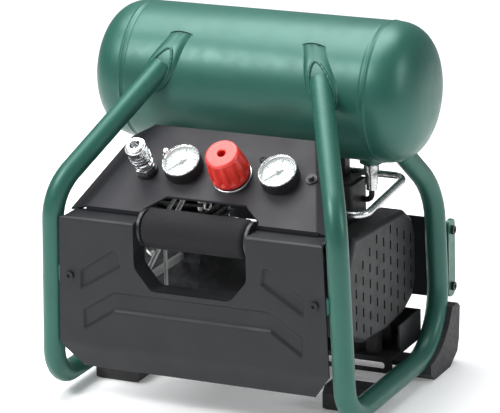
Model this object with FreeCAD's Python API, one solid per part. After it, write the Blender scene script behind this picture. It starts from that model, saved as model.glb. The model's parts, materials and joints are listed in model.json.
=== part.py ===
import FreeCAD, Part
import math
import os

# Portable oil-free air compressor, all sizes in millimetres.
# +Z is up, -Y is the front with the handle and controls, the origin lies on
# the ground under the middle of the frame.

V = FreeCAD.Vector
os.makedirs("parts", exist_ok=True)

# ---- driving sizes -----------------------------------------------------
tank_r = 71.0              # receiver outer radius
tank_wall = 2.5
cap_depth = 45.5
cap_power = 2.6            # superellipse exponent of the dished ends
depth_middle = 9.7          # half way between the foremost screw heads and the rear brackets
tank_y = 60.5
tank_z = 303.0

tube_r = 11.0              # frame tube outer radius
tube_wall = 2.0
loop_half = 161.0          # tube axis at ground level, measured from the middle
lean = 0.035               # both loops lean in by this slope
shell_half = loop_half - 28.5   # half length of the straight shell
loop_front = -121.5
loop_rear = 121.5
loop_low = 21.0            # axis height of the bottom run
arm_corner_z = 220.6
arm_dir = V(-55.5, 98.0, 87.5)
rear_corner_z = 186.0
rear_dir = V(-11.0, -46.0, 46.0)
bend_arm = 60.0
bend_front = 34.0
bend_rear = 70.0
bend_top = 78.0

sheet = 2.0                # panel sheet thickness
panel_y = -130.5           # outer face of the front panel
panel_top = 199.0
panel_fold = 66.0
panel_low = 40.0
panel_low_y = -118.5
window_half = 61.0
window_low = 131.5
slope = math.radians(38.0)  # slope of the control panel
slope_y = -105.5
slope_z = 204.0
slope_len = 106.0
side_gap = 0.6

grip_r = 20.0
grip_half = 56.0
grip_y = -108.0
grip_z = 189.5
handle_r = 14.0

tray_z = 34.0              # top of the base tray
pump_z = 42.0              # underside of pump and motor, on rubber mounts
shaft_y = 45.0
shaft_z = 98.0
shaft_r = 7.5
run_gap = 0.05             # radial running clearance of shafts
throw = 10.0
bore_r = 28.0
cyl_x = -88.0
deck_z = shaft_z + 95.5    # top face of the cylinder
rod_len = 44.0

knob_x = 17.0
knob_s = 53.0
gauge_a_x = -37.0
gauge_b_x = 68.0
gauge_s = 57.0
gauge_r = 20.0
coupler_x = -75.0
coupler_s = 49.0


# ---- helpers -----------------------------------------------------------
def cyl(r, h, base, axis=V(0, 0, 1)):
    return Part.makeCylinder(r, h, base, axis)


def ring(r_out, r_in, h, base, axis=V(0, 0, 1)):
    return cyl(r_out, h, base, axis).cut(cyl(r_in, h, base, axis))


def box(x0, x1, y0, y1, z0, z1):
    return Part.makeBox(x1 - x0, y1 - y0, z1 - z0, V(x0, y0, z0))


def fuse(shapes):
    out = shapes[0]
    for s in shapes[1:]:
        out = out.fuse(s)
    return out.removeSplitter()


def cut_all(shape, tools):
    for t in tools:
        shape = shape.cut(t)
    return shape


def prism(points, vec):
    """Solid swept by vec from the planar polygon through points."""
    face = Part.Face(Part.makePolygon(points + [points[0]]))
    return face.extrude(vec)


def mirror_x(shape):
    return shape.mirror(V(0, 0, 0), V(1, 0, 0))


def export(name, shape):
    """Write one piece, moved so that the machine's overall depth is centred on y = 0."""
    if shape.ShapeType == "Compound" and len(shape.Solids) == 1:
        shape = shape.Solids[0]
    placed = shape.copy()
    placed.translate(V(0, -depth_middle, 0))
    placed.exportStep("parts/" + name + ".step")


def group(name, shapes):
    """Write several solids as one piece."""
    export(name, Part.makeCompound(shapes))


def path_wire(corners, radii):
    """Straight runs between corners, joined by tangent arcs of given radii."""
    edges = []
    start = corners[0]
    for i in range(1, len(corners) - 1):
        here = corners[i]
        back = (corners[i - 1] - here).normalize()
        ahead = (corners[i + 1] - here).normalize()
        half = back.getAngle(ahead) / 2.0
        reach = radii[i - 1] / math.tan(half)
        a = here + back * reach
        b = here + ahead * reach
        bis = (back + ahead).normalize()
        centre = here + bis * (radii[i - 1] / math.sin(half))
        mid = centre - bis * radii[i - 1]
        edges.append(Part.LineSegment(start, a).toShape())
        edges.append(Part.Arc(a, mid, b).toShape())
        start = b
    edges.append(Part.LineSegment(start, corners[-1]).toShape())
    return Part.Wire(edges)


def pipe(corners, radii, r):
    """Round bar of radius r along the rounded path through corners."""
    wire = path_wire(corners, radii)
    axis = (corners[1] - corners[0]).normalize()
    circle = Part.Wire(Part.Circle(corners[0], axis, r).toShape())
    return wire.makePipeShell([circle], True, False)


def on_slope(x, s, h=0.0):
    """Point on the control panel: x across, s up the slope, h off its face."""
    y = slope_y + s * math.cos(slope) - h * math.sin(slope)
    z = slope_z + s * math.sin(slope) + h * math.cos(slope)
    return V(x, y, z)


normal = V(0, -math.sin(slope), math.cos(slope))
uphill = V(0, math.cos(slope), math.sin(slope))


def tube_x(z):
    return loop_half - lean * z


def revolve_x(profile, x_axis_y, x_axis_z):
    """Turn a closed (x, r) outline about the X-parallel axis through y, z."""
    pts = [V(p[0], x_axis_y, x_axis_z + p[1]) for p in profile]
    face = Part.Face(Part.makePolygon(pts + [pts[0]]))
    return face.revolve(V(0, x_axis_y, x_axis_z), V(1, 0, 0), 360)


# ---- receiver ----------------------------------------------------------
def dish_curve(depth, radius, r_from, r_to, steps=22):
    """Spline along a dished end's outline, from radius r_from to radius r_to."""
    start = math.acos(min(1.0, (r_from / radius) ** (cap_power / 2)))
    stop = math.acos((r_to / radius) ** (cap_power / 2))
    pts = []
    for i in range(steps + 1):
        t = start + (stop - start) * i / steps
        x = depth * max(0.0, math.sin(t)) ** (2.0 / cap_power)
        pts.append(V(x, 0, radius * math.cos(t) ** (2.0 / cap_power)))
    curve = Part.BSplineCurve()
    curve.interpolate(pts)
    return curve.toShape(), pts[0], pts[-1]


def dished_cap(lip_len=8.0, lip_t=2.0, bead_h=0.7, bead_len=2.5, flat_r=4.0):
    """Dished end with a lip that fits inside the shell and a weld bead on its rim, crown at +x."""
    inner_r = tank_r - tank_wall
    outer, o0, o1 = dish_curve(cap_depth, tank_r, tank_r - 0.02, flat_r)
    inner, i0, i1 = dish_curve(cap_depth - tank_wall, inner_r, inner_r - lip_t, flat_r)
    run = [o1, V(o1.x, 0, 0), V(i1.x, 0, 0), i1]
    rim = [i0, V(-lip_len, 0, i0.z), V(-lip_len, 0, inner_r), V(0, 0, inner_r)]
    rim += [V(0, 0, tank_r + bead_h), V(bead_len, 0, tank_r + bead_h), V(bead_len, 0, o0.z), o0]
    edges = [outer, inner]
    for pts in (run, rim):
        for k in range(len(pts) - 1):
            if (pts[k + 1] - pts[k]).Length > 1e-6:
                edges.append(Part.LineSegment(pts[k], pts[k + 1]).toShape())
    face = Part.Face(Part.Wire(Part.__sortEdges__(edges)))
    return face.revolve(V(0, 0, 0), V(1, 0, 0), 360)


X = V(1, 0, 0)
Y = V(0, 1, 0)
Z = V(0, 0, 1)

tank_shell = ring(tank_r, tank_r - tank_wall, 2 * shell_half, V(-shell_half, tank_y, tank_z), X)
tank_cap_right = dished_cap()
tank_cap_right.translate(V(shell_half, tank_y, tank_z))

bung_r = 12.0
bung_x = 112.0
drain_x = -20.0
outlet_x = 40.0
bungs = []
for bx in (bung_x, drain_x, outlet_x):
    low = tank_z - tank_r - 5.0
    stub = cyl(bung_r, 12.0, V(bx, tank_y, low), Z)
    bungs.append(stub)
tank_shell = fuse([tank_shell] + [b.cut(cyl(tank_r - 0.5, 400, V(-200, tank_y, tank_z), X)) for b in bungs])
for bx in (bung_x, drain_x, outlet_x):
    tank_shell = tank_shell.cut(cyl(6.6, 20.0, V(bx, tank_y, tank_z - tank_r - 6.0), Z))

# ---- frame loops -------------------------------------------------------
saddle_t = 2.5


def loop_corners():
    b = V(tube_x(arm_corner_z), loop_front, arm_corner_z)
    a = b + arm_dir * 1.35
    c = V(tube_x(loop_low), loop_front, loop_low)
    d = V(tube_x(loop_low), loop_rear, loop_low)
    e = V(tube_x(rear_corner_z), loop_rear, rear_corner_z)
    f = e + rear_dir * 1.35
    return [a, b, c, d, e, f]


corners = loop_corners()
bends = [bend_arm, bend_front, bend_rear, bend_top]
loop_solid = pipe(corners, bends, tube_r)
loop_core = pipe(corners, bends, tube_r - tube_wall)
tank_block = cyl(tank_r + saddle_t, 360, V(-180, tank_y, tank_z), X)
rear_block = cyl(tank_r, 360, V(-180, tank_y, tank_z), X)
front_side = box(-200, 200, -200, tank_y - 20, 0, 420)
rear_side = box(-200, 200, tank_y - 20, 220, 0, 420)
loop = loop_solid.cut(loop_core)
loop = loop.cut(tank_block.common(front_side)).cut(rear_block.common(rear_side))
loop = loop.cut(tank_cap_right)
loop = max(loop.Solids, key=lambda s: s.Volume)

arm_hit = corners[1] + arm_dir * 1.158
saddle_blank = cyl(14.5, 60, arm_hit - arm_dir.normalize() * 30, arm_dir)
saddle = saddle_blank.common(ring(tank_r + saddle_t, tank_r, 300, V(-150, tank_y, tank_z), X))
saddle = min(saddle.Solids, key=lambda s: s.CenterOfMass.y)

tab_z = 138.0
tab_x = tube_x(tab_z)
tab = box(126.0, tab_x, panel_y + sheet, panel_y + sheet + 3.0, tab_z - 9, tab_z + 9)
tab = tab.cut(loop_solid)
tab = max(tab.Solids, key=lambda s: s.Volume)

# ---- base tray ---------------------------------------------------------
tray_x = loop_half - 15.0
tray_y0 = 26.0
tray_y1 = 104.0
tray_low = 17.0
floor = box(-tray_x, tray_x, tray_y0, tray_y1, tray_z - 3, tray_z)
apron = box(-tray_x, tray_x, tray_y0, tray_y0 + sheet, tray_low, tray_z)
for side in (1, -1):
    x0, x1 = sorted((side * 6, side * (tray_x - 8)))
    slot = box(x0, x1, tray_y0 - 1, tray_y0 + 3, 21.5, 28.5)
    slot = slot.makeFillet(3.0, [e for e in slot.Edges if e.BoundBox.YLength > 3.5])
    apron = apron.cut(slot)
upstand = box(-tray_x, tray_x, tray_y1 - sheet, tray_y1, tray_z - 1, 62)
end_wall = box(tray_x - sheet, tray_x, tray_y0 + 22, tray_y1, tray_z - 1, 62)
base_tray = fuse([floor, apron, upstand, end_wall, mirror_x(end_wall)])
lug = box(tray_x - 8, tray_x + 10, tray_y0 + 4, tray_y0 + 30, tray_z - 8, tray_z - 3).cut(loop_solid)
lug = min(lug.Solids, key=lambda s: s.CenterOfMass.x)
base_tray = fuse([base_tray, lug, mirror_x(lug)])

mounts_at = [(-112, 38), (-112, 72), (41, 38), (41, 78)]
isolators = []
for mx, my in mounts_at:
    base_tray = base_tray.cut(cyl(3.1, 20, V(mx, my, tray_z - 10)))
    body = cyl(9.0, pump_z - tray_z, V(mx, my, tray_z))
    stud = cyl(3.0, 2.0, V(mx, my, pump_z))
    low_stud = cyl(3.0, 7.0, V(mx, my, tray_z - 7))
    nut = cyl(5.5, 4.0, V(mx, my, tray_z - 7))
    isolators.append(fuse([body, stud, low_stud, nut]))

# ---- feet --------------------------------------------------------------
foot_in = loop_half - 58.0
foot_pts = [(-50, 0), (-4, 0), (-4, 12), (-20, 24), (-44, 24), (-50, 17)]
foot = prism([V(foot_in, p[0], p[1]) for p in foot_pts], V(48.5, 0, 0))
foot = foot.makeChamfer(2.0, [e for e in foot.Edges if abs(e.CenterOfMass.z) < 0.1])
clear_tube = pipe(corners, bends, tube_r + 0.05)
foot = foot.cut(clear_tube)
foot = min(foot.Solids, key=lambda s: s.CenterOfMass.x)

heel_in = loop_half - 13.0
heel_out = loop_half + 14.0
heel_pts = [(70, 0), (112, 0), (132, 11), (137, 24), (140, 58), (134, 63), (121, 63), (60, 63), (60, 8)]
heel = prism([V(heel_in, p[0], p[1]) for p in heel_pts], V(heel_out - heel_in, 0, 0))
bend_disc = cyl(bend_rear + 3.0, 60, V(heel_in - 10, loop_rear - bend_rear, loop_low + bend_rear), X)
heel = heel.cut(bend_disc).cut(clear_tube)
heel = max(heel.Solids, key=lambda s: s.Volume)

# ---- rear brackets and rear panel --------------------------------------
br_z0 = 66.0
br_z1 = 149.0
br_y0 = loop_rear + 13.0
br_y1 = br_y0 + 18.0
br_x0 = loop_half
br_x1 = loop_half + 4.0
bracket = box(br_x0, br_x1, br_y0, br_y1, br_z0, br_z1)
long_edges = [e for e in bracket.Edges if abs(e.Vertexes[0].X - e.Vertexes[-1].X) > 1]
bracket = bracket.makeFillet(7.0, long_edges)
web_x = loop_half - 10.0
bracket_arm = box(web_x, br_x0 + 0.5, loop_rear + 2, br_y0 + 6, br_z0 + 8, br_z0 + 20)
bracket_arm2 = box(web_x, br_x0 + 0.5, loop_rear + 2, br_y0 + 6, br_z1 - 20, br_z1 - 8)
bracket = fuse([bracket, bracket_arm, bracket_arm2]).cut(loop_solid)
bracket = max(bracket.Solids, key=lambda s: s.Volume)
screw_z = (br_z0 + 10.5, br_z1 - 11.5)
screw_y = (br_y0 + br_y1) / 2 + 1.0


def side_screw(z):
    shank = cyl(2.5, 8.0, V(br_x1 - 8, screw_y, z), X)
    head = cyl(4.6, 3.0, V(br_x1, screw_y, z), X)
    hexa = cyl(2.2, 1.6, V(br_x1 + 1.4, screw_y, z), X)
    return shank.fuse(head).cut(hexa)


for sz in screw_z:
    bracket = bracket.cut(cyl(2.6, 12.0, V(br_x1 - 10, screw_y, sz), X))
bracket_screws = [side_screw(sz) for sz in screw_z]
bracket_screws += [mirror_x(s) for s in bracket_screws]

rp_y = loop_rear + 13.0
rear_panel = box(11 - loop_half, loop_half - 11, rp_y, rp_y + sheet, 66, 151)
for k in range(9):
    for m in range(2):
        cx = -112 + k * 28
        z0 = 80 + m * 27
        rear_panel = rear_panel.cut(box(cx - 10, cx + 10, rp_y - 1, rp_y + 3, z0, z0 + 20))
side_flange = box(br_x0 - 3, br_x0, rp_y, br_y1 - 2, 70, 137)
joint_strip = box(loop_half - 12, br_x0 - 1, rp_y, rp_y + sheet, 70, 137)
for sz in screw_z:
    side_flange = side_flange.cut(cyl(2.6, 30.0, V(br_x0 - 16, screw_y, sz), X))
rear_panel = fuse([rear_panel, side_flange, joint_strip, mirror_x(side_flange), mirror_x(joint_strip)])
rear_panel = rear_panel.cut(bracket).cut(mirror_x(bracket))
rear_panel = max(rear_panel.Solids, key=lambda s: s.Volume)

# ---- front panel -------------------------------------------------------
def edge_x(z):
    return tube_x(z) - tube_r - side_gap


main = prism([V(-edge_x(panel_top), panel_y, panel_top), V(edge_x(panel_top), panel_y, panel_top),
              V(edge_x(panel_fold), panel_y, panel_fold), V(-edge_x(panel_fold), panel_y, panel_fold)],
             V(0, sheet, 0))
fold = prism([V(-122, panel_y, panel_fold), V(122, panel_y, panel_fold),
              V(127, panel_low_y, panel_low), V(-127, panel_low_y, panel_low)], V(0, sheet, 0))
facet = prism([V(122, panel_y, panel_fold), V(edge_x(panel_fold), panel_y, panel_fold),
               V(127, panel_low_y, panel_low)], V(0, sheet, 0))
ledge = box(-138.0, 138.0, panel_y, slope_y + 5.5, panel_top - sheet, panel_top)
front_panel = fuse([main, fold, facet, mirror_x(facet), ledge])
window_pts = [(-window_half, 260), (window_half, 260), (window_half, 153.5), (43, window_low),
              (-43, window_low), (-window_half, 153.5)]
window = prism([V(p[0], panel_y - 5, p[1]) for p in window_pts], V(0, 60, 0))
front_panel = front_panel.cut(window)
cheek_low = 168.0
cheek = box(window_half, window_half + sheet, panel_y, slope_y + 16, cheek_low, panel_top)
cheek = cheek.makeFillet(8.0, [e for e in cheek.Edges
                               if abs(e.CenterOfMass.z - cheek_low) < 0.1 and abs(e.CenterOfMass.y - slope_y - 16) < 9
                               and abs(e.Vertexes[0].X - e.Vertexes[-1].X) > 1])
front_panel = fuse([front_panel, cheek, mirror_x(cheek)])

band_a = [(78, 169.5), (85, 169.5), (121.5, 145), (122, 124), (76, 152.5)]
band_b = [(-84, 126.5), (84, 126.5), (120, 104), (120, 82), (85, 105), (-85, 105), (-120, 82), (-120, 104)]
press = 1.1
for side in (1, -1):
    pts = [V(side * p[0], panel_y - 1, p[1]) for p in band_a]
    front_panel = front_panel.cut(prism(pts, V(0, 1 + press, 0)))
pts = [V(p[0], panel_y - 1, p[1]) for p in band_b]
front_panel = front_panel.cut(prism(pts, V(0, 1 + press, 0)))
screw_x = 133.0
for side in (1, -1):
    front_panel = front_panel.cut(cyl(2.6, 20, V(side * screw_x, panel_y - 5, tab_z), Y))
tab = tab.cut(cyl(2.6, 20, V(screw_x, panel_y - 5, tab_z), Y))


def panel_screw(x):
    shank = cyl(2.5, 9.0, V(x, panel_y, tab_z), Y)
    head = cyl(4.4, 2.6, V(x, panel_y - 2.6, tab_z), Y)
    hexa = cyl(2.0, 1.5, V(x, panel_y - 2.6, tab_z), Y)
    return shank.fuse(head).cut(hexa)


panel_screws = [panel_screw(screw_x), panel_screw(-screw_x)]

# ---- handle ------------------------------------------------------------
bolt_r = 4.0
for side in (1, -1):
    front_panel = front_panel.cut(cyl(bolt_r + 0.1, 10, V(side * (window_half - 4), grip_y, grip_z), V(side, 0, 0)))
handle_tube = ring(handle_r, handle_r - 2.0, 2 * window_half - 6, V(-window_half + 3, grip_y, grip_z), X)
plug = ring(handle_r, bolt_r + 0.05, 3.0, V(window_half - 3, grip_y, grip_z), X)
handle_tube = fuse([handle_tube, plug, mirror_x(plug)])
foam_grip = ring(grip_r, handle_r, 2 * grip_half, V(-grip_half, grip_y, grip_z), X)
foam_grip = foam_grip.makeFillet(4.0, [e for e in foam_grip.Edges if abs(e.BoundBox.ZLength - 2 * grip_r) < 0.5
                                       and e.BoundBox.XLength < 0.1])
ring_w = window_half - grip_half
grip_ring = ring(18.5, handle_r, ring_w, V(grip_half, grip_y, grip_z), X)
bolt = cyl(bolt_r, 14.0, V(window_half + sheet - 14, grip_y, grip_z), X)
bolt = bolt.fuse(cyl(7.0, 4.5, V(window_half + sheet, grip_y, grip_z), X))
bolt = bolt.cut(cyl(3.4, 3.0, V(window_half + sheet + 2.0, grip_y, grip_z), X))

# ---- control panel -----------------------------------------------------
top_half = 88.0
low_half = 125.0
flat = prism([on_slope(-low_half, 0), on_slope(low_half, 0), on_slope(top_half, slope_len),
              on_slope(-top_half, slope_len)], normal * -sheet)
part_up = 0.887
outer_up = [low_half + 20 - (low_half - top_half) * part_up, -4 + slope_len * part_up]
wing = prism([on_slope(low_half, 0), on_slope(low_half + 20, -4, -8), on_slope(outer_up[0], outer_up[1], -8),
              on_slope(top_half, slope_len)], normal * -sheet)
tab_s = 62.0
wing_at = (tab_s + 4) / slope_len
strip_x = low_half + 20 - (low_half - top_half) * wing_at
arm_at = (on_slope(0, tab_s, 30).y - corners[1].y) / 98.0
arm_x = corners[1].x - 55.5 * arm_at
strip_pts = [on_slope(strip_x - 2, tab_s - 8, -9.5), on_slope(strip_x - 2, tab_s + 8, -9.5),
             on_slope(arm_x, tab_s + 8, 30), on_slope(arm_x, tab_s - 8, 30)]
strip = prism(strip_pts, V(2.0, 0, 0))
keep_off = pipe(corners, bends, tube_r + 0.1)
strip = strip.cut(keep_off)
strip = min(strip.Solids, key=lambda s: s.CenterOfMass.z)
sill = box(-low_half, low_half, slope_y - 0.2, slope_y + 1.8, panel_top, slope_z - 0.6)
control_panel = fuse([flat, wing, mirror_x(wing), strip, mirror_x(strip), sill])
notch_pts = [(-63.5, -8), (63.5, -8), (63.5, 4), (46, 22), (-46, 22), (-63.5, 4)]
notch = prism([on_slope(p[0], p[1], 3) for p in notch_pts], normal * -9)
control_panel = control_panel.cut(notch)
control_panel = control_panel.cut(box(-200, 200, -140, -90, 180, panel_top))
hole_plan = [(gauge_a_x, gauge_s, 6.0), (gauge_b_x, gauge_s, 6.0), (knob_x, knob_s, 14.0),
             (coupler_x, coupler_s, 8.0), (100.0, 60.0, 4.5)]
for hx, hs, hr in hole_plan:
    control_panel = control_panel.cut(cyl(hr, 12, on_slope(hx, hs, -8), normal))

# ---- gauges ------------------------------------------------------------
needle_pivot = 1.2


def gauge(x):
    shell = cyl(gauge_r, 14.0, on_slope(x, gauge_s, 0), normal)
    hollow = cyl(gauge_r - 1.5, 5.0, on_slope(x, gauge_s, 9.0), normal)
    stem = cyl(5.9, 16.0, on_slope(x, gauge_s, -16.0), normal)
    case = shell.cut(hollow).fuse(stem)
    post = cyl(needle_pivot, 2.4, on_slope(x, gauge_s, 9.0), normal)
    case = case.fuse(post)
    dial = ring(gauge_r - 1.6, needle_pivot + 0.05, 0.6, on_slope(x, gauge_s, 9.0), normal)
    lens = cyl(gauge_r - 1.6, 1.2, on_slope(x, gauge_s, 12.8), normal)
    return case, dial, lens


def needle(x):
    hub = ring(2.4, needle_pivot + 0.06, 0.9, on_slope(x, gauge_s, 10.1), normal)
    point = prism([on_slope(x - 0.7, gauge_s + 2, 10.3), on_slope(x + 0.7, gauge_s + 2, 10.3),
                   on_slope(x + 0.2, gauge_s + 14.5, 10.3), on_slope(x - 0.2, gauge_s + 14.5, 10.3)],
                  normal * 0.5)
    tail = prism([on_slope(x - 1.0, gauge_s - 2, 10.3), on_slope(x + 1.0, gauge_s - 2, 10.3),
                  on_slope(x + 1.0, gauge_s - 6, 10.3), on_slope(x - 1.0, gauge_s - 6, 10.3)],
                 normal * 0.5)
    blade = fuse([hub, point, tail])
    blade.rotate(on_slope(x, gauge_s, 0), normal, 135.0)
    return blade


case_a, dial_a, lens_a = gauge(gauge_a_x)
case_b, dial_b, lens_b = gauge(gauge_b_x)

# ---- regulator ---------------------------------------------------------
stem_r = 6.0
reg_body = cyl(13.8, 30.0, on_slope(knob_x, knob_s, -30.0), normal)
reg_collar = cyl(17.0, 5.0, on_slope(knob_x, knob_s, 0.0), normal)
reg_stem = cyl(stem_r, 20.0, on_slope(knob_x, knob_s, 5.0), normal)
regulator_body = fuse([reg_body, reg_collar, reg_stem])
regulator_ring = ring(21.5, 17.05, 3.0, on_slope(knob_x, knob_s, 0.2), normal)
knob_low = 5.6
knob_top = 39.0
k_pts = [(stem_r + run_gap, knob_low), (20.5, knob_low), (20.5, knob_low + 4), (19.5, knob_low + 17),
         (17.0, knob_top - 1.5), (15.8, knob_top), (4.0, knob_top), (4.0, 28.5), (stem_r + run_gap, 28.5)]
k_face = Part.Face(Part.makePolygon([V(p[0], 0, p[1]) for p in k_pts + [k_pts[0]]]))
knob = k_face.revolve(V(0, 0, 0), Z, 360)
for k in range(12):
    a = math.radians(30 * k + 15)
    flute = cyl(3.0, 60, V(21.2 * math.cos(a), 21.2 * math.sin(a), knob_low + 5), Z)
    flute.rotate(V(21.2 * math.cos(a), 21.2 * math.sin(a), knob_low + 5), V(-math.sin(a), math.cos(a), 0), -5.0)
    knob = knob.cut(flute)
knob = max(knob.Solids, key=lambda s: s.Volume)
turn = FreeCAD.Rotation(V(1, 0, 0), 38.0)
knob.Placement = FreeCAD.Placement(on_slope(knob_x, knob_s), turn)

# ---- quick coupler -----------------------------------------------------
cp_r = 6.5
port_r = 4.2
cp = cyl(cp_r, 34.0, on_slope(coupler_x, coupler_s, 10.0), normal)
hexa = prism([on_slope(coupler_x + 11.0 * math.cos(math.pi * k / 3), coupler_s + 11.0 * math.sin(math.pi * k / 3), 4.0)
              for k in range(6)], normal * 7.0)
flange = cyl(9.6, 3.0, on_slope(coupler_x, coupler_s, 11.0), normal)
top_lip = cyl(9.6, 2.0, on_slope(coupler_x, coupler_s, 42.0), normal)
coupler_body = fuse([cp, hexa, flange, top_lip])
coupler_body = coupler_body.cut(cyl(port_r, 40.0, on_slope(coupler_x, coupler_s, 8.0), normal))
coupler_body = coupler_body.cut(cyl(5.2, 16.0, on_slope(coupler_x, coupler_s, 28.5), normal))
sl_low = 20.5
sl_len = 21.0
sleeve = ring(11.0, cp_r + run_gap, sl_len, on_slope(coupler_x, coupler_s, sl_low), normal)
groove = ring(11.5, 10.2, 1.6, on_slope(coupler_x, coupler_s, sl_low + 4), normal)
groove2 = ring(11.5, 10.2, 1.6, on_slope(coupler_x, coupler_s, sl_low + 8), normal)
groove3 = ring(11.5, 10.0, 3.0, on_slope(coupler_x, coupler_s, sl_low + 13), normal)
coupler_sleeve = cut_all(sleeve, [groove, groove2, groove3])
elbow_in = on_slope(coupler_x, coupler_s, -18.0)
elbow = fuse([cyl(7.9, 22.0, elbow_in, normal), cyl(11.0, 4.0, on_slope(coupler_x, coupler_s, 0.0), normal)])
elbow_side = cyl(6.0, 26.0, on_slope(coupler_x, coupler_s, -12.0), X)
coupler_elbow = fuse([elbow, elbow_side])
coupler_elbow = coupler_elbow.cut(cyl(3.5, 20, on_slope(coupler_x, coupler_s, -14.0), normal))
coupler_elbow = coupler_elbow.cut(cyl(3.0, 30, on_slope(coupler_x, coupler_s, -12.0), X))

# ---- manifold behind the control panel ---------------------------------
man_s0 = 45.0
man_s1 = 69.0
man = prism([on_slope(coupler_x + 26.0, man_s0, -5), on_slope(90, man_s0, -5), on_slope(90, man_s1, -5),
             on_slope(coupler_x + 26.0, man_s1, -5)], normal * -17.0)
man = man.cut(cyl(5.95, 40, on_slope(gauge_a_x, gauge_s, -16.05), normal))
man = man.cut(cyl(5.95, 40, on_slope(gauge_b_x, gauge_s, -16.05), normal))
man = man.cut(cyl(13.85, 50, on_slope(knob_x, knob_s, -30.05), normal))
man = max(man.Solids, key=lambda s: s.Volume)

# ---- reset button ------------------------------------------------------
btn_seat = ring(5.8, 3.1, 1.6, on_slope(100, 60, 0), normal)
btn_sleeve = ring(4.4, 3.1, 14.0, on_slope(100, 60, -12), normal)
btn_floor = cyl(4.4, 2.0, on_slope(100, 60, -14), normal)
overload_switch = fuse([btn_seat, btn_sleeve, btn_floor])
reset_button = fuse([cyl(3.05, 12.0, on_slope(100, 60, -7), normal), cyl(2.5, 0.8, on_slope(100, 60, 5), normal)])

# ---- pressure switch on the check side ---------------------------------
ps_x0 = 62.0
ps_x1 = 102.0
ps_y0 = 32.0
ps_y1 = 72.0
ps_z0 = 172.0
ps_z1 = 208.0
sw_x = 76.0
sw_z = 192.0
switch_box = box(ps_x0, ps_x1, ps_y0, ps_y1, ps_z0, ps_z1)
switch_box = switch_box.makeFillet(4.0, [e for e in switch_box.Edges if abs(e.BoundBox.ZLength) > 30])
switch_box = switch_box.cut(cyl(6.2, 12.0, V(sw_x, ps_y0, sw_z), Y))
lid = box(ps_x0 + 4, ps_x1 - 4, ps_y0 + 4, ps_y1 - 4, ps_z1, ps_z1 + 3)
strap = box(ps_x0 + 10, ps_x0 + 24, ps_y0 + 22, ps_y0 + 34, ps_z1 + 3, tank_z - 0.985 * tank_r)
strap = strap.cut(cyl(tank_r, 360, V(-180, tank_y, tank_z), X))
pressure_switch = fuse([switch_box, lid, strap])
switch_knob = fuse([cyl(6.1, 11.0, V(sw_x, ps_y0 - 5, sw_z), Y), cyl(9.0, 6.0, V(sw_x, ps_y0 - 11, sw_z), Y)])

# ---- crankcase, cylinder, head -----------------------------------------
cc_x0 = -124.0
cc_x1 = -52.0
cc_top = shaft_z + 40.0
cc = cyl(38.0, cc_x1 - cc_x0, V(cc_x0, shaft_y, shaft_z), X)
neck = box(cc_x0, cc_x1 - 0.0, shaft_y - 34, shaft_y + 34, shaft_z, cc_top)
feet_pad = box(cc_x0, cc_x1, shaft_y - 34, shaft_y + 34, pump_z, shaft_z - 20)
cc = fuse([cc, neck, feet_pad])
cc = cc.cut(cyl(30.5, 52.0, V(cc_x0 + 4, shaft_y, shaft_z), X))
cc = cc.cut(cyl(bore_r + 0.5, 30.0, V(cyl_x, shaft_y, shaft_z + 26)))
cc = cc.cut(cyl(17.5, 12.0, V(cc_x1 - 16, shaft_y, shaft_z), X))
cc = cc.cut(cyl(shaft_r + 1.5, 40.0, V(cc_x1 - 30, shaft_y, shaft_z), X))
cc = cc.cut(box(cc_x0 + 22, cc_x1 - 8, shaft_y - 22, shaft_y + 22, pump_z, shaft_z - 36))
for mx, my in mounts_at[:2]:
    cc = cc.cut(cyl(3.1, 2.2, V(mx, my, pump_z)))
cylinder = ring(bore_r + 5.0, bore_r, deck_z - cc_top, V(cyl_x, shaft_y, cc_top))
fins = []
for k in range(6):
    z0 = cc_top + 6.0 + 8.2 * k
    fin = box(cyl_x - 35, cyl_x + 35, shaft_y - 37, shaft_y + 37, z0, z0 + 2.6)
    fins.append(fin)
deck = box(cyl_x - 35, cyl_x + 35, shaft_y - 37, shaft_y + 37, deck_z - 4, deck_z)
flange_low = box(cyl_x - 35, cyl_x + 35, shaft_y - 34, shaft_y + 34, cc_top, cc_top + 5)
cylinder = fuse([cylinder, deck, flange_low] + fins)
cylinder = cylinder.cut(cyl(bore_r, 120, V(cyl_x, shaft_y, cc_top - 10)))
valve_plate = box(cyl_x - 35, cyl_x + 35, shaft_y - 37, shaft_y + 37, deck_z, deck_z + 4)
head_top = deck_z + 27.0
head = box(cyl_x - 35, cyl_x + 35, shaft_y - 37, shaft_y + 37, deck_z + 4, deck_z + 16)
head_fins = []
for k in range(8):
    y0 = shaft_y - 35 + 9.6 * k
    head_fins.append(box(cyl_x - 33, cyl_x + 33, y0, y0 + 2.8, deck_z + 16, head_top))
cylinder_head = fuse([head] + head_fins)
out_port = V(cyl_x + 35, shaft_y + 18, deck_z + 10)
cylinder_head = cylinder_head.cut(cyl(5.0, 12, out_port - V(11, 0, 0), X))
bolt_at = [(cyl_x + sx * 29.5, shaft_y + sy * 31.0) for sx in (-1, 1) for sy in (-1, 1)]
head_bolts = []
for bx, by in bolt_at:
    hole = cyl(3.1, 100, V(bx, by, cc_top + 1))
    cylinder = cylinder.cut(hole)
    valve_plate = valve_plate.cut(hole)
    cylinder_head = cylinder_head.cut(hole).cut(cyl(6.0, 30, V(bx, by, deck_z + 16)))
    shank = cyl(3.0, deck_z + 16 - cc_top - 1, V(bx, by, cc_top + 1))
    head_bolts.append(shank.fuse(cyl(5.2, 5.0, V(bx, by, deck_z + 16))))
cylinder = max(cylinder.Solids, key=lambda s: s.Volume)

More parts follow.
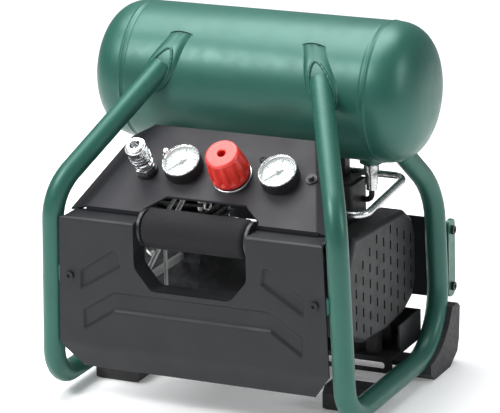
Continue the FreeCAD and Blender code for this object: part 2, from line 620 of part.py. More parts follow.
# ---- moving gear -------------------------------------------------------
pin_r = 6.0
web_x0 = cyl_x + 8.0
crank_web = cyl(24.0, 8.0, V(web_x0, shaft_y, shaft_z), X)
crank_pin = cyl(pin_r, 17.0, V(web_x0 - 17, shaft_y, shaft_z + throw), X)
main_shaft = cyl(shaft_r, 190.0, V(web_x0, shaft_y, shaft_z), X)
crankshaft = fuse([crank_web, crank_pin, main_shaft])
rod_w = 12.0
rod_x0 = cyl_x - rod_w / 2 - 1.5
big_z = shaft_z + throw
rod = fuse([cyl(12.5, rod_w, V(rod_x0, shaft_y, big_z), X),
            cyl(8.0, rod_w, V(rod_x0, shaft_y, big_z + rod_len), X),
            box(rod_x0 + 2.5, rod_x0 + rod_w - 2.5, shaft_y - 6, shaft_y + 6, big_z, big_z + rod_len)])
rod = rod.cut(cyl(pin_r + run_gap, rod_w, V(rod_x0, shaft_y, big_z), X))
rod = rod.cut(cyl(4.1, rod_w, V(rod_x0, shaft_y, big_z + rod_len), X))
piston_r = bore_r - 0.1
crown_top = deck_z - 0.5
skirt_low = shaft_z + 57.0
piston = cyl(piston_r, crown_top - skirt_low, V(cyl_x, shaft_y, skirt_low))
piston = piston.cut(cyl(piston_r - 4.0, crown_top - skirt_low - 5.0, V(cyl_x, shaft_y, skirt_low)))
wrist_z = shaft_z + 62.0 + 2 * throw + 5.2
piston = piston.fuse(cyl(4.0, 2 * piston_r - 4, V(cyl_x - piston_r + 2, shaft_y, wrist_z), X))
for k in range(2):
    z0 = crown_top - 6.0 - 5.0 * k
    piston = piston.cut(ring(piston_r + 1, piston_r - 1.5, 2.0, V(cyl_x, shaft_y, z0)))

# ---- motor -------------------------------------------------------------
mo_x0 = -30.0
mo_x1 = 50.0
stator_r = 54.0
rotor_r = 30.0
air_gap = 0.5
stator = ring(stator_r, rotor_r + air_gap, mo_x1 - mo_x0, V(mo_x0, shaft_y, shaft_z), X)
rotor = ring(rotor_r, shaft_r, 76.0, V(mo_x0 + 2, shaft_y, shaft_z), X)
bell_depth = 22.0


def bell(x_wall, sgn):
    """Cup closing the motor end: sgn is +1 for the fan end, -1 for the pump end."""
    rim = ring(stator_r, stator_r - 4, bell_depth, V(x_wall, shaft_y, shaft_z), V(sgn, 0, 0))
    wall = cyl(stator_r, 4, V(x_wall + sgn * (bell_depth - 4), shaft_y, shaft_z), V(sgn, 0, 0))
    boss = cyl(24, 14, V(x_wall + sgn * (bell_depth - 14), shaft_y, shaft_z), V(sgn, 0, 0))
    body = fuse([rim, wall, boss])
    seat = cyl(17.5, 12, V(x_wall + sgn * (bell_depth - 14), shaft_y, shaft_z), V(sgn, 0, 0))
    body = body.cut(seat).cut(cyl(shaft_r + 1.5, 60, V(x_wall - sgn * 5, shaft_y, shaft_z), V(sgn, 0, 0)))
    for k in range(10):
        a = math.radians(36 * k)
        slot = box(-2, bell_depth + 2, 30, 48, -4, 4)
        slot.rotate(V(0, 0, 0), X, math.degrees(a))
        if sgn < 0:
            slot = mirror_x(slot)
        slot.translate(V(x_wall, shaft_y, shaft_z))
        body = body.cut(slot)
    return body


bell_fan = bell(mo_x1, 1)
bell_pump = bell(mo_x0, -1)
bearing_w = 12.0
bearing_fan = ring(17.5, shaft_r + run_gap, bearing_w, V(mo_x1 + bell_depth - 14, shaft_y, shaft_z), X)
bearing_pump = ring(17.5, shaft_r + run_gap, bearing_w, V(cc_x1 - 16, shaft_y, shaft_z), X)
cradle = box(mo_x0 + 4, mo_x1 - 4, shaft_y - 46, shaft_y + 46, pump_z, shaft_z - 20)
cradle = cradle.cut(cyl(stator_r, 200, V(mo_x0 - 50, shaft_y, shaft_z), X))
pocket = box(mo_x0 + 14, mo_x1 - 14, -90, 190, pump_z + 4, shaft_z - 20)
cradle = cradle.cut(pocket)
for mx, my in mounts_at[2:]:
    cradle = cradle.cut(cyl(3.1, 2.2, V(mx, my, pump_z)))

# ---- fan ---------------------------------------------------------------
fan_x0 = 92.0
fan_r = 56.0
hub = ring(15.0, shaft_r, 14.0, V(fan_x0, shaft_y, shaft_z), X)
blades = []
for k in range(7):
    blade = box(fan_x0 + 6, fan_x0 + 8.4, -8, 8, 12, fan_r)
    blade.rotate(V(fan_x0 + 7, 0, 30), Z, 36.0)
    blade.rotate(V(0, 0, 0), X, 360.0 / 7 * k)
    blade.translate(V(0, shaft_y, shaft_z))
    blades.append(blade)
fan = fuse([hub] + blades).cut(cyl(shaft_r, 60, V(fan_x0 - 20, shaft_y, shaft_z), X))
fan = max(fan.Solids, key=lambda s: s.Volume)

# ---- fan shroud --------------------------------------------------------
shroud_pts = [(-62, 152), (-46, 181), (82, 174), (102, 160), (110, 139), (110, 94), (101, 76), (78, 66),
              (30, 62), (-24, 66), (-56, 80), (-64, 104)]
sh_x0 = 112.0
sh_x1 = 139.0


def inset(points, d):
    """Move every side of the clockwise convex outline inward by d."""
    out = []
    n = len(points)
    for i in range(n):
        p0 = points[i - 1]
        p1 = points[i]
        p2 = points[(i + 1) % n]
        a = (p1[0] - p0[0], p1[1] - p0[1])
        b = (p2[0] - p1[0], p2[1] - p1[1])
        la = math.hypot(*a)
        lb = math.hypot(*b)
        na = (a[1] / la, -a[0] / la)
        nb = (b[1] / lb, -b[0] / lb)
        k = 1 + na[0] * nb[0] + na[1] * nb[1]
        out.append((p1[0] + d * (na[0] + nb[0]) / k, p1[1] + d * (na[1] + nb[1]) / k))
    return out


def slab(points, x0, x1):
    return prism([V(x0, p[0], p[1]) for p in points], V(x1 - x0, 0, 0))


shroud = slab(shroud_pts, sh_x0, sh_x1)
rims = [e for e in shroud.Edges if abs(e.Vertexes[0].X - sh_x1) < 0.1 and abs(e.Vertexes[-1].X - sh_x1) < 0.1]
shroud = shroud.makeFillet(5.0, rims)
shroud = shroud.cut(slab(inset(shroud_pts, 2.5), sh_x0 - 1, sh_x1 - 5.0))
slots = []
for c in range(9):
    for r in range(6):
        sy = -44 + 17.5 * c
        sz = 74 + 16.5 * r + (8.25 if c % 2 else 0)
        if math.hypot((sy - 22) / 84.0, (sz - 116) / 58.0) < 1.0:
            slots.append(box(sh_x1 - 8, sh_x1 + 1, sy - 1.6, sy + 1.6, sz - 4.6, sz + 4.6))
shroud = shroud.cut(Part.makeCompound(slots))
legs = [box(sh_x0 + 3, sh_x0 + 15, y0, y0 + 12, tray_z, 72) for y0 in (34, 70)]
inner = slab(inset(shroud_pts, 2.5), sh_x0 - 1, sh_x1 - 5.0)
legs = [g.cut(inner) for g in legs]
shroud = fuse([shroud] + legs)
shroud = max(shroud.Solids, key=lambda s: s.Volume)

# ---- pipes -------------------------------------------------------------
check_low = tank_z - tank_r - 27.0
check_valve = cyl(6.5, 30.0, V(bung_x, tank_y, check_low))
check_valve = fuse([check_valve, cyl(8.0, 7.0, V(bung_x, tank_y, check_low + 13)),
                    cyl(5.5, 6.0, V(bung_x, tank_y, check_low - 6))])
pipe_r = 3.6
turn_x = 143.0
back_run = V(0, 77.0, 211.0)
front_run = on_slope(60, 57, -45)
pipe_pts = [out_port, out_port + V(33, 0, 0), V(15, back_run.y, back_run.z), V(turn_x, back_run.y, back_run.z),
            V(turn_x, front_run.y, 200), front_run, on_slope(60, 57, -22.05)]
delivery_pipe = pipe(pipe_pts, [14, 20, 14, 16, 10], pipe_r)
nut_a = cyl(6.2, 9.0, on_slope(60, 57, -31.05), normal)
nut_b = cyl(7.0, 10.0, out_port, X)
delivery_pipe = fuse([delivery_pipe, nut_a, nut_b])
unload_z = check_low - 17.0
unload_pts = [V(bung_x, tank_y, check_low - 6.05), V(bung_x, tank_y, unload_z), V(ps_x1 + 0.05, tank_y, unload_z)]
unloader_hose = pipe(unload_pts, [6], 3.0)
supply_pts = [V(outlet_x, tank_y, tank_z - tank_r - 5.0), V(outlet_x, tank_y, 206), on_slope(outlet_x, 57, -45),
              on_slope(outlet_x, 57, -22.0)]
supply_hose = pipe(supply_pts, [12, 12], 4.5)

# ---- drain, safety valve, filter ---------------------------------------
drain_z = tank_z - tank_r - 6.0
drain_body = cyl(6.5, 11.0, V(drain_x, tank_y, drain_z))
drain_body = fuse([drain_body, cyl(8.5, 8.0, V(drain_x, tank_y, drain_z - 8))])
drain_body = drain_body.cut(cyl(3.0, 30, V(drain_x, tank_y, drain_z - 10)))
drain_screw = fuse([cyl(2.95, 14.0, V(drain_x, tank_y, drain_z - 13)),
                    cyl(7.5, 5.0, V(drain_x, tank_y, drain_z - 14))])
wing_cut = [box(drain_x - 8, drain_x + 8, tank_y + 2.0, tank_y + 9, drain_z - 15, drain_z - 9.2),
            box(drain_x - 8, drain_x + 8, tank_y - 9, tank_y - 2.0, drain_z - 15, drain_z - 9.2)]
drain_screw = cut_all(drain_screw, wing_cut)

sv_at = on_slope(-30.0, 57.0, -22.0)
safety_valve = fuse([cyl(6.0, 8.0, sv_at, normal * -1), cyl(8.0, 16.0, sv_at - normal * 8, normal * -1)])
safety_valve = safety_valve.cut(cyl(2.1, 30.0, sv_at - normal * 6, normal * -1))
sv_stem = cyl(2.05, 18.0, sv_at - normal * 10, normal * -1)
sv_eye = Part.makeTorus(7.0, 1.2, sv_at - normal * 35.5, X)
safety_ring = fuse([sv_stem, sv_eye])

intake = cyl(16.0, 20.0, V(cyl_x - 18, shaft_y - 37.0, deck_z + 10), V(0, -1, 0))
intake = fuse([intake, cyl(13.0, 5.0, V(cyl_x - 18, shaft_y - 57.0, deck_z + 10), V(0, -1, 0))])

# ---- files -------------------------------------------------------------
export("tank_shell", tank_shell)
export("tank_cap_left", mirror_x(tank_cap_right))
export("tank_cap_right", tank_cap_right)
group("tank_saddles", [saddle, mirror_x(saddle)])
export("frame_loop_left", mirror_x(loop.fuse(tab)))
export("frame_loop_right", loop.fuse(tab))
export("base_tray", base_tray)
group("isolators", isolators)
export("front_panel", front_panel)
export("control_panel", control_panel)
group("panel_screws", panel_screws + bracket_screws)
export("handle_tube", handle_tube)
export("foam_grip", foam_grip)
group("grip_rings", [grip_ring, mirror_x(grip_ring)])
group("handle_bolts", [bolt, mirror_x(bolt)])
group("feet_front", [foot, mirror_x(foot)])
group("feet_rear", [heel, mirror_x(heel)])
group("rear_brackets", [bracket, mirror_x(bracket)])
export("rear_panel", rear_panel)
export("regulator_body", regulator_body)
export("regulator_ring", regulator_ring)
group("gauge_cases", [case_a, case_b])
group("gauge_dials", [dial_a, dial_b])
group("gauge_lenses", [lens_a, lens_b])
export("coupler_body", coupler_body)
export("coupler_elbow", coupler_elbow)
export("manifold", man)
export("overload_switch", overload_switch)
export("pressure_switch", pressure_switch)
export("check_valve", check_valve)
export("delivery_pipe", delivery_pipe)
export("unloader_hose", unloader_hose)
export("supply_hose", supply_hose)
export("crankcase", cc)
export("cylinder", cylinder)
export("valve_plate", valve_plate)
export("cylinder_head", cylinder_head)
group("head_bolts", head_bolts)
export("motor_stator", stator.fuse(cradle))
group("motor_bells", [bell_fan, bell_pump])
group("bearings", [bearing_fan, bearing_pump])
export("fan_shroud", shroud)
export("intake_filter", intake)
export("drain_body", drain_body)
export("safety_valve", safety_valve)
export("regulator_knob", knob)
export("needle_left", needle(gauge_a_x))
export("needle_right", needle(gauge_b_x))
export("coupler_sleeve", coupler_sleeve)
export("crankshaft", crankshaft)
export("rotor", rotor)
export("fan", fan)
export("con_rod", rod)
export("piston", piston)
export("drain_screw", drain_screw)
export("safety_ring", safety_ring)
export("switch_knob", switch_knob)
export("reset_button", reset_button)
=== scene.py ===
"""Portable air compressor: surfaces, finishes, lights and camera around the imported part."""

import json
import math

import bmesh
import bpy
import numpy as np
from mathutils import Matrix, Vector


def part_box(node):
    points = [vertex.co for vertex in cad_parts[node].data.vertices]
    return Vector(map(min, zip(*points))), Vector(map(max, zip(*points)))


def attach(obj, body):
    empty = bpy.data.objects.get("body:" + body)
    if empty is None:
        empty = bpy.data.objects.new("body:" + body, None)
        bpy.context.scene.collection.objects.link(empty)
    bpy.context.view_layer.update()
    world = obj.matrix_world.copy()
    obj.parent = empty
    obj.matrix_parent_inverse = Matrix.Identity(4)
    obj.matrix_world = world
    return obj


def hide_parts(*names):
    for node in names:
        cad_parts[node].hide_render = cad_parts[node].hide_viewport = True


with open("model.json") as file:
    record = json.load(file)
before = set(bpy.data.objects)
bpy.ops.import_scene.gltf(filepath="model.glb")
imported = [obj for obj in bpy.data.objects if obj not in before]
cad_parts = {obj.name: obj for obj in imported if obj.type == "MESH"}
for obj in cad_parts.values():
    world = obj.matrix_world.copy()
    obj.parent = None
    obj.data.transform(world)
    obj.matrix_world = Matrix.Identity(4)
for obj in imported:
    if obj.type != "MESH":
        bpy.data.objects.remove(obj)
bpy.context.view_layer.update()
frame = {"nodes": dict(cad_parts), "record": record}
nodes = frame["nodes"]
joints = {j["name"]: j for j in frame["record"]["behaviour"]["joints"]}

# ---- sizes of the machine, in millimetres, origin half way between the front and rear uprights
TANK_R, SHELL_HALF, CAP_DEPTH, CAP_POWER = 71.0, 132.5, 45.5, 2.6
TUBE_R, LOOP_HALF, LEAN = 11.0, 161.0, 0.035
LOOP_Y, LOOP_LOW = 121.5, 21.0
ARM_CORNER_Z, ARM_DIR = 220.6, np.array([-55.5, 98.0, 87.5])
REAR_CORNER_Z, REAR_DIR = 186.0, np.array([-11.0, -46.0, 46.0])
PANEL_Y, PANEL_TOP, PANEL_FOLD, PANEL_LOW, PANEL_LOW_Y = -130.5, 199.0, 66.0, 40.0, -118.5
WINDOW_HALF, WINDOW_LOW, WINDOW_SIDE = 61.0, 131.5, 153.5
SLOPE, SLOPE_Y, SLOPE_Z, SLOPE_LEN = math.radians(38.0), -105.5, 204.0, 106.0
GRIP_Y, GRIP_Z, GRIP_R, GRIP_HALF = -108.0, 189.5, 20.0, 56.0
KNOB_AT, GAUGES_AT, COUPLER_AT = (17.0, 53.0), ((-37.0, 57.0), (68.0, 57.0)), (-75.0, 49.0)
CRANK_Y = 45.0
SHEET = 1.9
SIDES = ((1, "right"), (-1, "left"))

lo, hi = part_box("tank_cap_right")
TANK_Z = 500.0 * (lo.z + hi.z)
SHIFT_Y = 1000.0 * joints["crank_spin"]["pos_m"][1] - CRANK_Y
TANK_Y = 500.0 * (lo.y + hi.y) - SHIFT_Y

E_X = np.array([1.0, 0.0, 0.0])
E_UP = np.array([0.0, math.cos(SLOPE), math.sin(SLOPE)])
E_N = np.array([0.0, -math.sin(SLOPE), math.cos(SLOPE)])


def on_slope(x, s, h=0.0):
    """Point x across, s up the sloped panel and h above it."""
    return np.array([0.0, SLOPE_Y, SLOPE_Z]) + x * E_X + s * E_UP + h * E_N


def unit(v):
    return v / np.linalg.norm(v)


def smooth(t):
    """Smooth step: 3t^2 - 2t^3 with t held between 0 and 1."""
    t = np.clip(t, 0.0, 1.0)
    return t * t * (3.0 - 2.0 * t)


# ---- mesh building -----------------------------------------------------
def add_mesh(name, points, faces, angle=35.0, merge=2e-5):
    """Object from points in millimetres and faces; doubles merged, faces turned outwards, sharp only past angle."""
    co = np.asarray(points, float).reshape(-1, 3) * 0.001
    co[:, 1] += SHIFT_Y * 0.001
    mesh = bpy.data.meshes.new(name)
    mesh.from_pydata(co.tolist(), [], [tuple(f) for f in faces])
    bm = bmesh.new()
    bm.from_mesh(mesh)
    bmesh.ops.remove_doubles(bm, verts=bm.verts, dist=merge)
    bmesh.ops.dissolve_degenerate(bm, edges=bm.edges, dist=merge * 0.5)
    bmesh.ops.recalc_face_normals(bm, faces=bm.faces)
    bm.to_mesh(mesh)
    bm.free()
    mesh.shade_smooth()
    mesh.set_sharp_from_angle(angle=math.radians(angle))
    obj = bpy.data.objects.new(name, mesh)
    bpy.context.scene.collection.objects.link(obj)
    return obj


def grid_faces(nu, nv, wrap_u=False, wrap_v=False):
    """Quads between neighbouring rows u and columns v of a grid of nu by nv points."""
    iu = np.arange(nu if wrap_u else nu - 1)
    iv = np.arange(nv if wrap_v else nv - 1)
    u, v = np.meshgrid(iu, iv, indexing="ij")
    u2, v2 = (u + 1) % nu, (v + 1) % nv
    quads = np.stack([u * nv + v, u2 * nv + v, u2 * nv + v2, u * nv + v2], -1)
    return quads.reshape(-1, 4).tolist()


def joined(parts):
    """Points and faces of several (points, faces) lists put into one pair."""
    pts, faces, n = [], [], 0
    for p, f in parts:
        p = np.asarray(p, float).reshape(-1, 3)
        pts.append(p)
        faces += [[i + n for i in q] for q in f]
        n += len(p)
    return np.concatenate(pts), faces


def rounded(outline, radius, steps=5, closed=False):
    """Polyline with each corner replaced by a quadratic arc that starts radius before the corner."""
    p = np.asarray(outline, float)
    n = len(p)
    out = []
    for i in range(n):
        if not closed and i in (0, n - 1):
            out.append(p[i])
            continue
        a, b, c = p[i - 1], p[i], p[(i + 1) % n]
        r = min(radius, 0.45 * np.linalg.norm(a - b), 0.45 * np.linalg.norm(c - b))
        t = np.linspace(0, 1, steps)[:, None]
        start, stop = b + unit(a - b) * r, b + unit(c - b) * r
        out += list((1 - t) ** 2 * start + 2 * t * (1 - t) * b + t ** 2 * stop)
    return np.array(out)


def side_axes(axis):
    """Two unit vectors square to axis and to each other."""
    axis = unit(np.asarray(axis, float))
    helper = E_X if abs(axis[0]) < 0.9 else np.array([0.0, 1.0, 0.0])
    a = unit(np.cross(helper, axis))
    return a, np.cross(axis, a)


def turned_part(profile, base, axis, segs=72, radius_scale=None):
    """Surface of revolution: point (h, r) of the closed profile goes to base + h axis + r (cos t, sin t).
    radius_scale(h, t) multiplies r, for flutes and knurls."""
    h, r = np.asarray(profile, float).T
    axis = unit(np.asarray(axis, float))
    a, b = side_axes(axis)
    t = np.linspace(0, 2 * math.pi, segs, endpoint=False)
    hh, tt = np.meshgrid(h, t, indexing="ij")
    rr = np.repeat(r[:, None], segs, 1)
    if radius_scale is not None:
        rr = rr * radius_scale(hh, tt)
    pts = np.asarray(base, float) + hh[..., None] * axis + rr[..., None] * (
        np.cos(tt)[..., None] * a + np.sin(tt)[..., None] * b)
    return pts.reshape(-1, 3), grid_faces(len(h), segs, False, True)


def looped(profile):
    """Profile with its first point repeated at its end, so that the surface turned from it closes."""
    return np.concatenate([profile, profile[:1]])


def densified(profile, gap):
    """Closed profile with each side split into equal steps of about gap."""
    ends = np.roll(profile, -1, 0)
    counts = np.maximum(1, (np.linalg.norm(ends - profile, axis=1) / gap).astype(int))
    return np.concatenate([a + (b - a) * np.arange(n)[:, None] / n for a, b, n in zip(profile, ends, counts)])


def turned(name, profile, base, axis, segs=72, closed=False, radius_scale=None, angle=35.0):
    """Turned piece; closed joins the profile's last point to its first."""
    prof = looped(profile) if closed else profile
    pts, faces = turned_part(prof, base, axis, segs, radius_scale)
    return add_mesh(name, pts, faces, angle)


def bent_path(corners, bends, step=5.0):
    """Straight runs between corners joined by tangent arcs of the given radii, as points and unit directions."""
    corners = [np.asarray(c, float) for c in corners]
    pts = []
    for i in range(1, len(corners) - 1):
        here, r = corners[i], bends[i - 1]
        back, ahead = unit(corners[i - 1] - here), unit(corners[i + 1] - here)
        half = math.acos(float(np.clip(back @ ahead, -1, 1))) / 2
        centre = here + unit(back + ahead) * r / math.sin(half)
        first, last = here + back * r / math.tan(half), here + ahead * r / math.tan(half)
        e1 = unit(first - centre)
        e2 = unit((last - centre) - ((last - centre) @ e1) * e1)
        turn = math.pi - 2 * half
        n = max(6, int(math.degrees(turn) / step))
        w = np.linspace(0, turn, n + 1)[:, None]
        pts.append(centre + r * (np.cos(w) * e1 + np.sin(w) * e2))
    path = np.concatenate([corners[0][None]] + pts + [corners[-1][None]])
    ahead = np.gradient(path, axis=0)
    ahead[0], ahead[-1] = path[1] - path[0], path[-1] - path[-2]
    return path, ahead / np.linalg.norm(ahead, axis=1)[:, None]


def tube_part(path, ahead, radius, segs=40):
    """Circle of the given radius carried along path, square to it, with both ends closed at a pole.
    The circle's start is carried along without twisting."""
    a, _ = side_axes(ahead[0])
    normals = [a]
    for d in ahead[1:]:
        a = unit(a - (a @ d) * d)
        normals.append(a)
    normals = np.array(normals)
    side = np.cross(ahead, normals)
    t = np.linspace(0, 2 * math.pi, segs, endpoint=False)
    rim = path[:, None] + radius * (np.cos(t)[None, :, None] * normals[:, None]
                                    + np.sin(t)[None, :, None] * side[:, None])
    first = np.repeat(path[:1], segs, 0)[None]
    last = np.repeat(path[-1:], segs, 0)[None]
    pts = np.concatenate([first, rim, last])
    return pts.reshape(-1, 3), grid_faces(len(pts), segs, False, True)


def plate_part(outline, back, thick, edge=0.5, steps=3):
    """Flat plate: a closed outline (3-D points in one plane) carried along back by thick, with its edges rolled
    inwards by edge at both faces, and each face closed by a fan from its middle."""
    outline = np.asarray(outline, float)
    middle = outline.mean(0)
    back = unit(np.asarray(back, float))
    inward = unit_rows(middle - outline)
    rows = [np.repeat(middle[None], len(outline), 0)]
    w = np.linspace(0, math.pi / 2, steps + 1)
    for a in w:
        rows.append(outline + inward * edge * (1 - math.sin(a)) + back * edge * (1 - math.cos(a)))
    for a in w[::-1]:
        rows.append(outline + inward * edge * (1 - math.sin(a)) + back * (thick - edge * (1 - math.cos(a))))
    rows.append(np.repeat((middle + back * thick)[None], len(outline), 0))
    return np.array(rows).reshape(-1, 3), grid_faces(len(rows), len(outline), False, True)


def unit_rows(v):
    return v / np.maximum(np.linalg.norm(v, axis=-1, keepdims=True), 1e-9)


def thicken(obj, bevel):
    """Give a sheet its thickness towards its back, and ease its edges by bevel."""
    wall = obj.modifiers.new("wall", "SOLIDIFY")
    wall.thickness, wall.offset, wall.use_even_offset = SHEET * 0.001, -1.0, True
    ease = obj.modifiers.new("ease", "BEVEL")
    ease.width, ease.segments, ease.limit_method = bevel * 0.001, 2, "ANGLE"
    ease.angle_limit = math.radians(50)


# ---- finishes ----------------------------------------------------------
class Finish:
    """One node material. Patterns read Object coordinates, in metres."""

    def __init__(self, name, color, rough=0.5, metal=0.0, **shader):
        self.mat = bpy.data.materials.new(name)
        self.mat.use_nodes = True
        self.tree = self.mat.node_tree
        self.shader = self.tree.nodes["Principled BSDF"]
        self.coords = self.tree.nodes.new("ShaderNodeTexCoord").outputs["Object"]
        self.color = color
        self.put("Base Color", (*color, 1.0))
        self.put("Roughness", rough)
        self.put("Metallic", metal)
        for key, value in shader.items():
            self.put(key.replace("_", " "), value)
        self.height = None

    def put(self, socket, value):
        self.shader.inputs[socket].default_value = value

    def node(self, kind, **inputs):
        n = self.tree.nodes.new(kind)
        for key, value in inputs.items():
            n.inputs[key].default_value = value
        return n

    def link(self, a, b):
        self.tree.links.new(a, b)

    def noise(self, scale, detail=3.0, rough=0.55):
        n = self.node("ShaderNodeTexNoise", Scale=scale, Detail=detail, Roughness=rough)
        self.link(self.coords, n.inputs["Vector"])
        return n.outputs["Fac"]

    def ramp(self, value, low, high, a, b):
        n = self.node("ShaderNodeMapRange")
        for key, v in zip(("From Min", "From Max", "To Min", "To Max"), (low, high, a, b)):
            n.inputs[key].default_value = v
        self.link(value, n.inputs["Value"])
        return n.outputs["Result"]

    def tint(self, value, low, high, dark, light):
        """Base colour from dark to light as value goes from low to high."""
        m = self.node("ShaderNodeMix")
        m.data_type = "RGBA"
        m.inputs[6].default_value, m.inputs[7].default_value = (*dark, 1), (*light, 1)
        self.link(self.ramp(value, low, high, 0, 1), m.inputs[0])
        self.link(m.outputs[2], self.shader.inputs["Base Color"])

    def rough(self, value, low, high, a, b):
        self.link(self.ramp(value, low, high, a, b), self.shader.inputs["Roughness"])

    def bump(self, value, strength, distance):
        n = self.node("ShaderNodeBump", Strength=strength, Distance=distance)
        self.link(value, n.inputs["Height"])
        if self.height is not None:
            self.link(self.height, n.inputs["Normal"])
        self.height = n.outputs["Normal"]
        self.link(self.height, self.shader.inputs["Normal"])


def shade(color, k):
    return tuple(c * k for c in color)


def painted_edge_highlight(f, light, amount=0.5):
    """Painted highlight: lighter colour where the surface turns sharply, broken up by noise."""
    g = f.node("ShaderNodeNewGeometry")
    edge = f.ramp(g.outputs["Pointiness"], 0.53, 0.62, 0, amount)
    n = f.ramp(f.noise(220, 4), 0.45, 0.62, 0, 1)
    mul = f.node("ShaderNodeMath")
    mul.operation = "MULTIPLY"
    f.link(edge, mul.inputs[0])
    f.link(n, mul.inputs[1])
    m = f.node("ShaderNodeMix")
    m.data_type = "RGBA"
    link = f.shader.inputs["Base Color"].links
    if link:
        f.link(link[0].from_socket, m.inputs[6])
    else:
        m.inputs[6].default_value = (*f.color, 1)
    m.inputs[7].default_value = (*light, 1)
    f.link(mul.outputs[0], m.inputs[0])
    f.link(m.outputs[2], f.shader.inputs["Base Color"])


def green_paint():
    f = Finish("green_enamel", (0.016, 0.100, 0.074), 0.42, 0.30, Coat_Weight=0.12, Coat_Roughness=0.25)
    f.tint(f.noise(9, 3), 0.3, 0.7, (0.014, 0.092, 0.068), (0.018, 0.110, 0.082))
    f.rough(f.noise(60, 4), 0.3, 0.7, 0.38, 0.48)
    f.bump(f.noise(420, 2), 0.10, 0.0004)
    f.bump(f.noise(1800, 1), 0.05, 0.0001)
    # painted highlight along the sharp edges of the green enamel
    painted_edge_highlight(f, (0.08, 0.22, 0.17), 0.25)
    return f.mat


def powder_coat(name, color, rough=0.5):
    f = Finish(name, color, rough, 0.0, Specular_IOR_Level=0.30)
    f.tint(f.noise(1500, 2), 0.35, 0.65, shade(color, 0.82), shade(color, 1.15))
    f.rough(f.noise(35, 4), 0.3, 0.7, rough - 0.06, rough + 0.07)
    f.bump(f.noise(1300, 2), 0.30, 0.00022)
    # painted highlight along the sharp edges of the powder coat, a lighter copy of its colour
    painted_edge_highlight(f, shade(color, 2.2), 0.35)
    return f.mat


def moulded(name, color, rough=0.45, grain=1600, depth=0.0002, **shader):
    f = Finish(name, color, rough, 0.0, **shader)
    f.tint(f.noise(30, 3), 0.3, 0.7, shade(color, 0.88), shade(color, 1.1))
    f.rough(f.noise(90, 4), 0.3, 0.7, rough - 0.05, rough + 0.06)
    f.bump(f.noise(grain, 2), 0.25, depth)
    return f.mat


def bare_metal(name, color, rough=0.3, fine=900, metal=1.0):
    f = Finish(name, color, rough, metal)
    f.tint(f.noise(fine, 3, 0.6), 0.3, 0.7, shade(color, 0.82), shade(color, 1.08))
    f.rough(f.noise(fine * 0.6, 3, 0.6), 0.3, 0.7, rough * 0.75, rough * 1.3)
    f.bump(f.noise(fine, 2, 0.6), 0.12, 0.0001)
    return f.mat


def cast_metal(name, color, rough=0.5):
    f = Finish(name, color, rough, 0.9)
    f.tint(f.noise(160, 5), 0.3, 0.7, shade(color, 0.7), shade(color, 1.15))
    f.rough(f.noise(200, 4), 0.3, 0.7, rough - 0.1, rough + 0.12)
    f.bump(f.noise(900, 4, 0.7), 0.45, 0.0004)
    return f.mat


def foam_skin():
    f = Finish("grip_foam", (0.022, 0.022, 0.024), 0.85, 0.0, Specular_IOR_Level=0.25)
    f.tint(f.noise(700, 3), 0.35, 0.65, (0.013, 0.013, 0.015), (0.018, 0.018, 0.020))
    cells = f.node("ShaderNodeTexVoronoi", Scale=1100.0)
    f.link(f.coords, cells.inputs["Vector"])
    f.bump(cells.outputs["Distance"], 0.12, 0.0002)
    f.bump(f.noise(160, 3), 0.18, 0.0005)
    return f.mat


def rubber(name, color):
    f = Finish(name, color, 0.62, 0.0, Specular_IOR_Level=0.35)
    f.tint(f.noise(80, 4), 0.3, 0.7, shade(color, 0.8), shade(color, 1.2))
    f.rough(f.noise(300, 3), 0.3, 0.7, 0.52, 0.74)
    f.bump(f.noise(1400, 3), 0.3, 0.0002)
    return f.mat


def clear_lens():
    f = Finish("clear_lens", (0.97, 1.0, 0.985), 0.04, 0.0, Alpha=0.10, IOR=1.45)
    f.rough(f.noise(240, 4), 0.45, 0.75, 0.03, 0.10)
    return f.mat


GREEN = green_paint()
ANTHRACITE = powder_coat("panel_powder_coat", (0.017, 0.0185, 0.021), 0.50)
CONTROL = powder_coat("control_powder_coat", (0.023, 0.023, 0.028), 0.52)
BLACK_COAT = powder_coat("black_coat", (0.012, 0.012, 0.013), 0.42)
BLACK = moulded("black_moulding", (0.014, 0.014, 0.015), 0.42)
SHROUD = moulded("shroud_moulding", (0.013, 0.013, 0.014), 0.50, 1100, 0.0003, Specular_IOR_Level=0.32)
RED = moulded("red_moulding", (0.72, 0.042, 0.030), 0.34, 1900, 0.00012,
              Coat_Weight=0.2, Subsurface_Weight=0.05, Subsurface_Scale=0.003)
FOAM = foam_skin()
RUBBER = rubber("foot_rubber", (0.034, 0.033, 0.035))
HOSE = rubber("hose_rubber", (0.016, 0.016, 0.017))
STEEL = bare_metal("drawn_steel", (0.60, 0.60, 0.60), 0.26)
CHROME = bare_metal("polished_chrome", (0.80, 0.81, 0.82), 0.20, fine=400)
ALU = cast_metal("cast_aluminium", (0.52, 0.52, 0.53), 0.42)
DARK_CAST = cast_metal("coated_casting", (0.045, 0.045, 0.048), 0.55)
IRON = cast_metal("laminated_iron", (0.16, 0.16, 0.17), 0.5)
ZINC = bare_metal("zinc_plate", (0.82, 0.82, 0.81), 0.42, fine=700, metal=0.6)
BRASS = bare_metal("machined_brass", (0.62, 0.46, 0.20), 0.28)
DIAL = moulded("dial_enamel", (0.74, 0.86, 0.83), 0.5, 2500, 0.00003)
INK = moulded("dial_ink", (0.03, 0.05, 0.06), 0.6, 2500, 0.00003)
LENS = clear_lens()

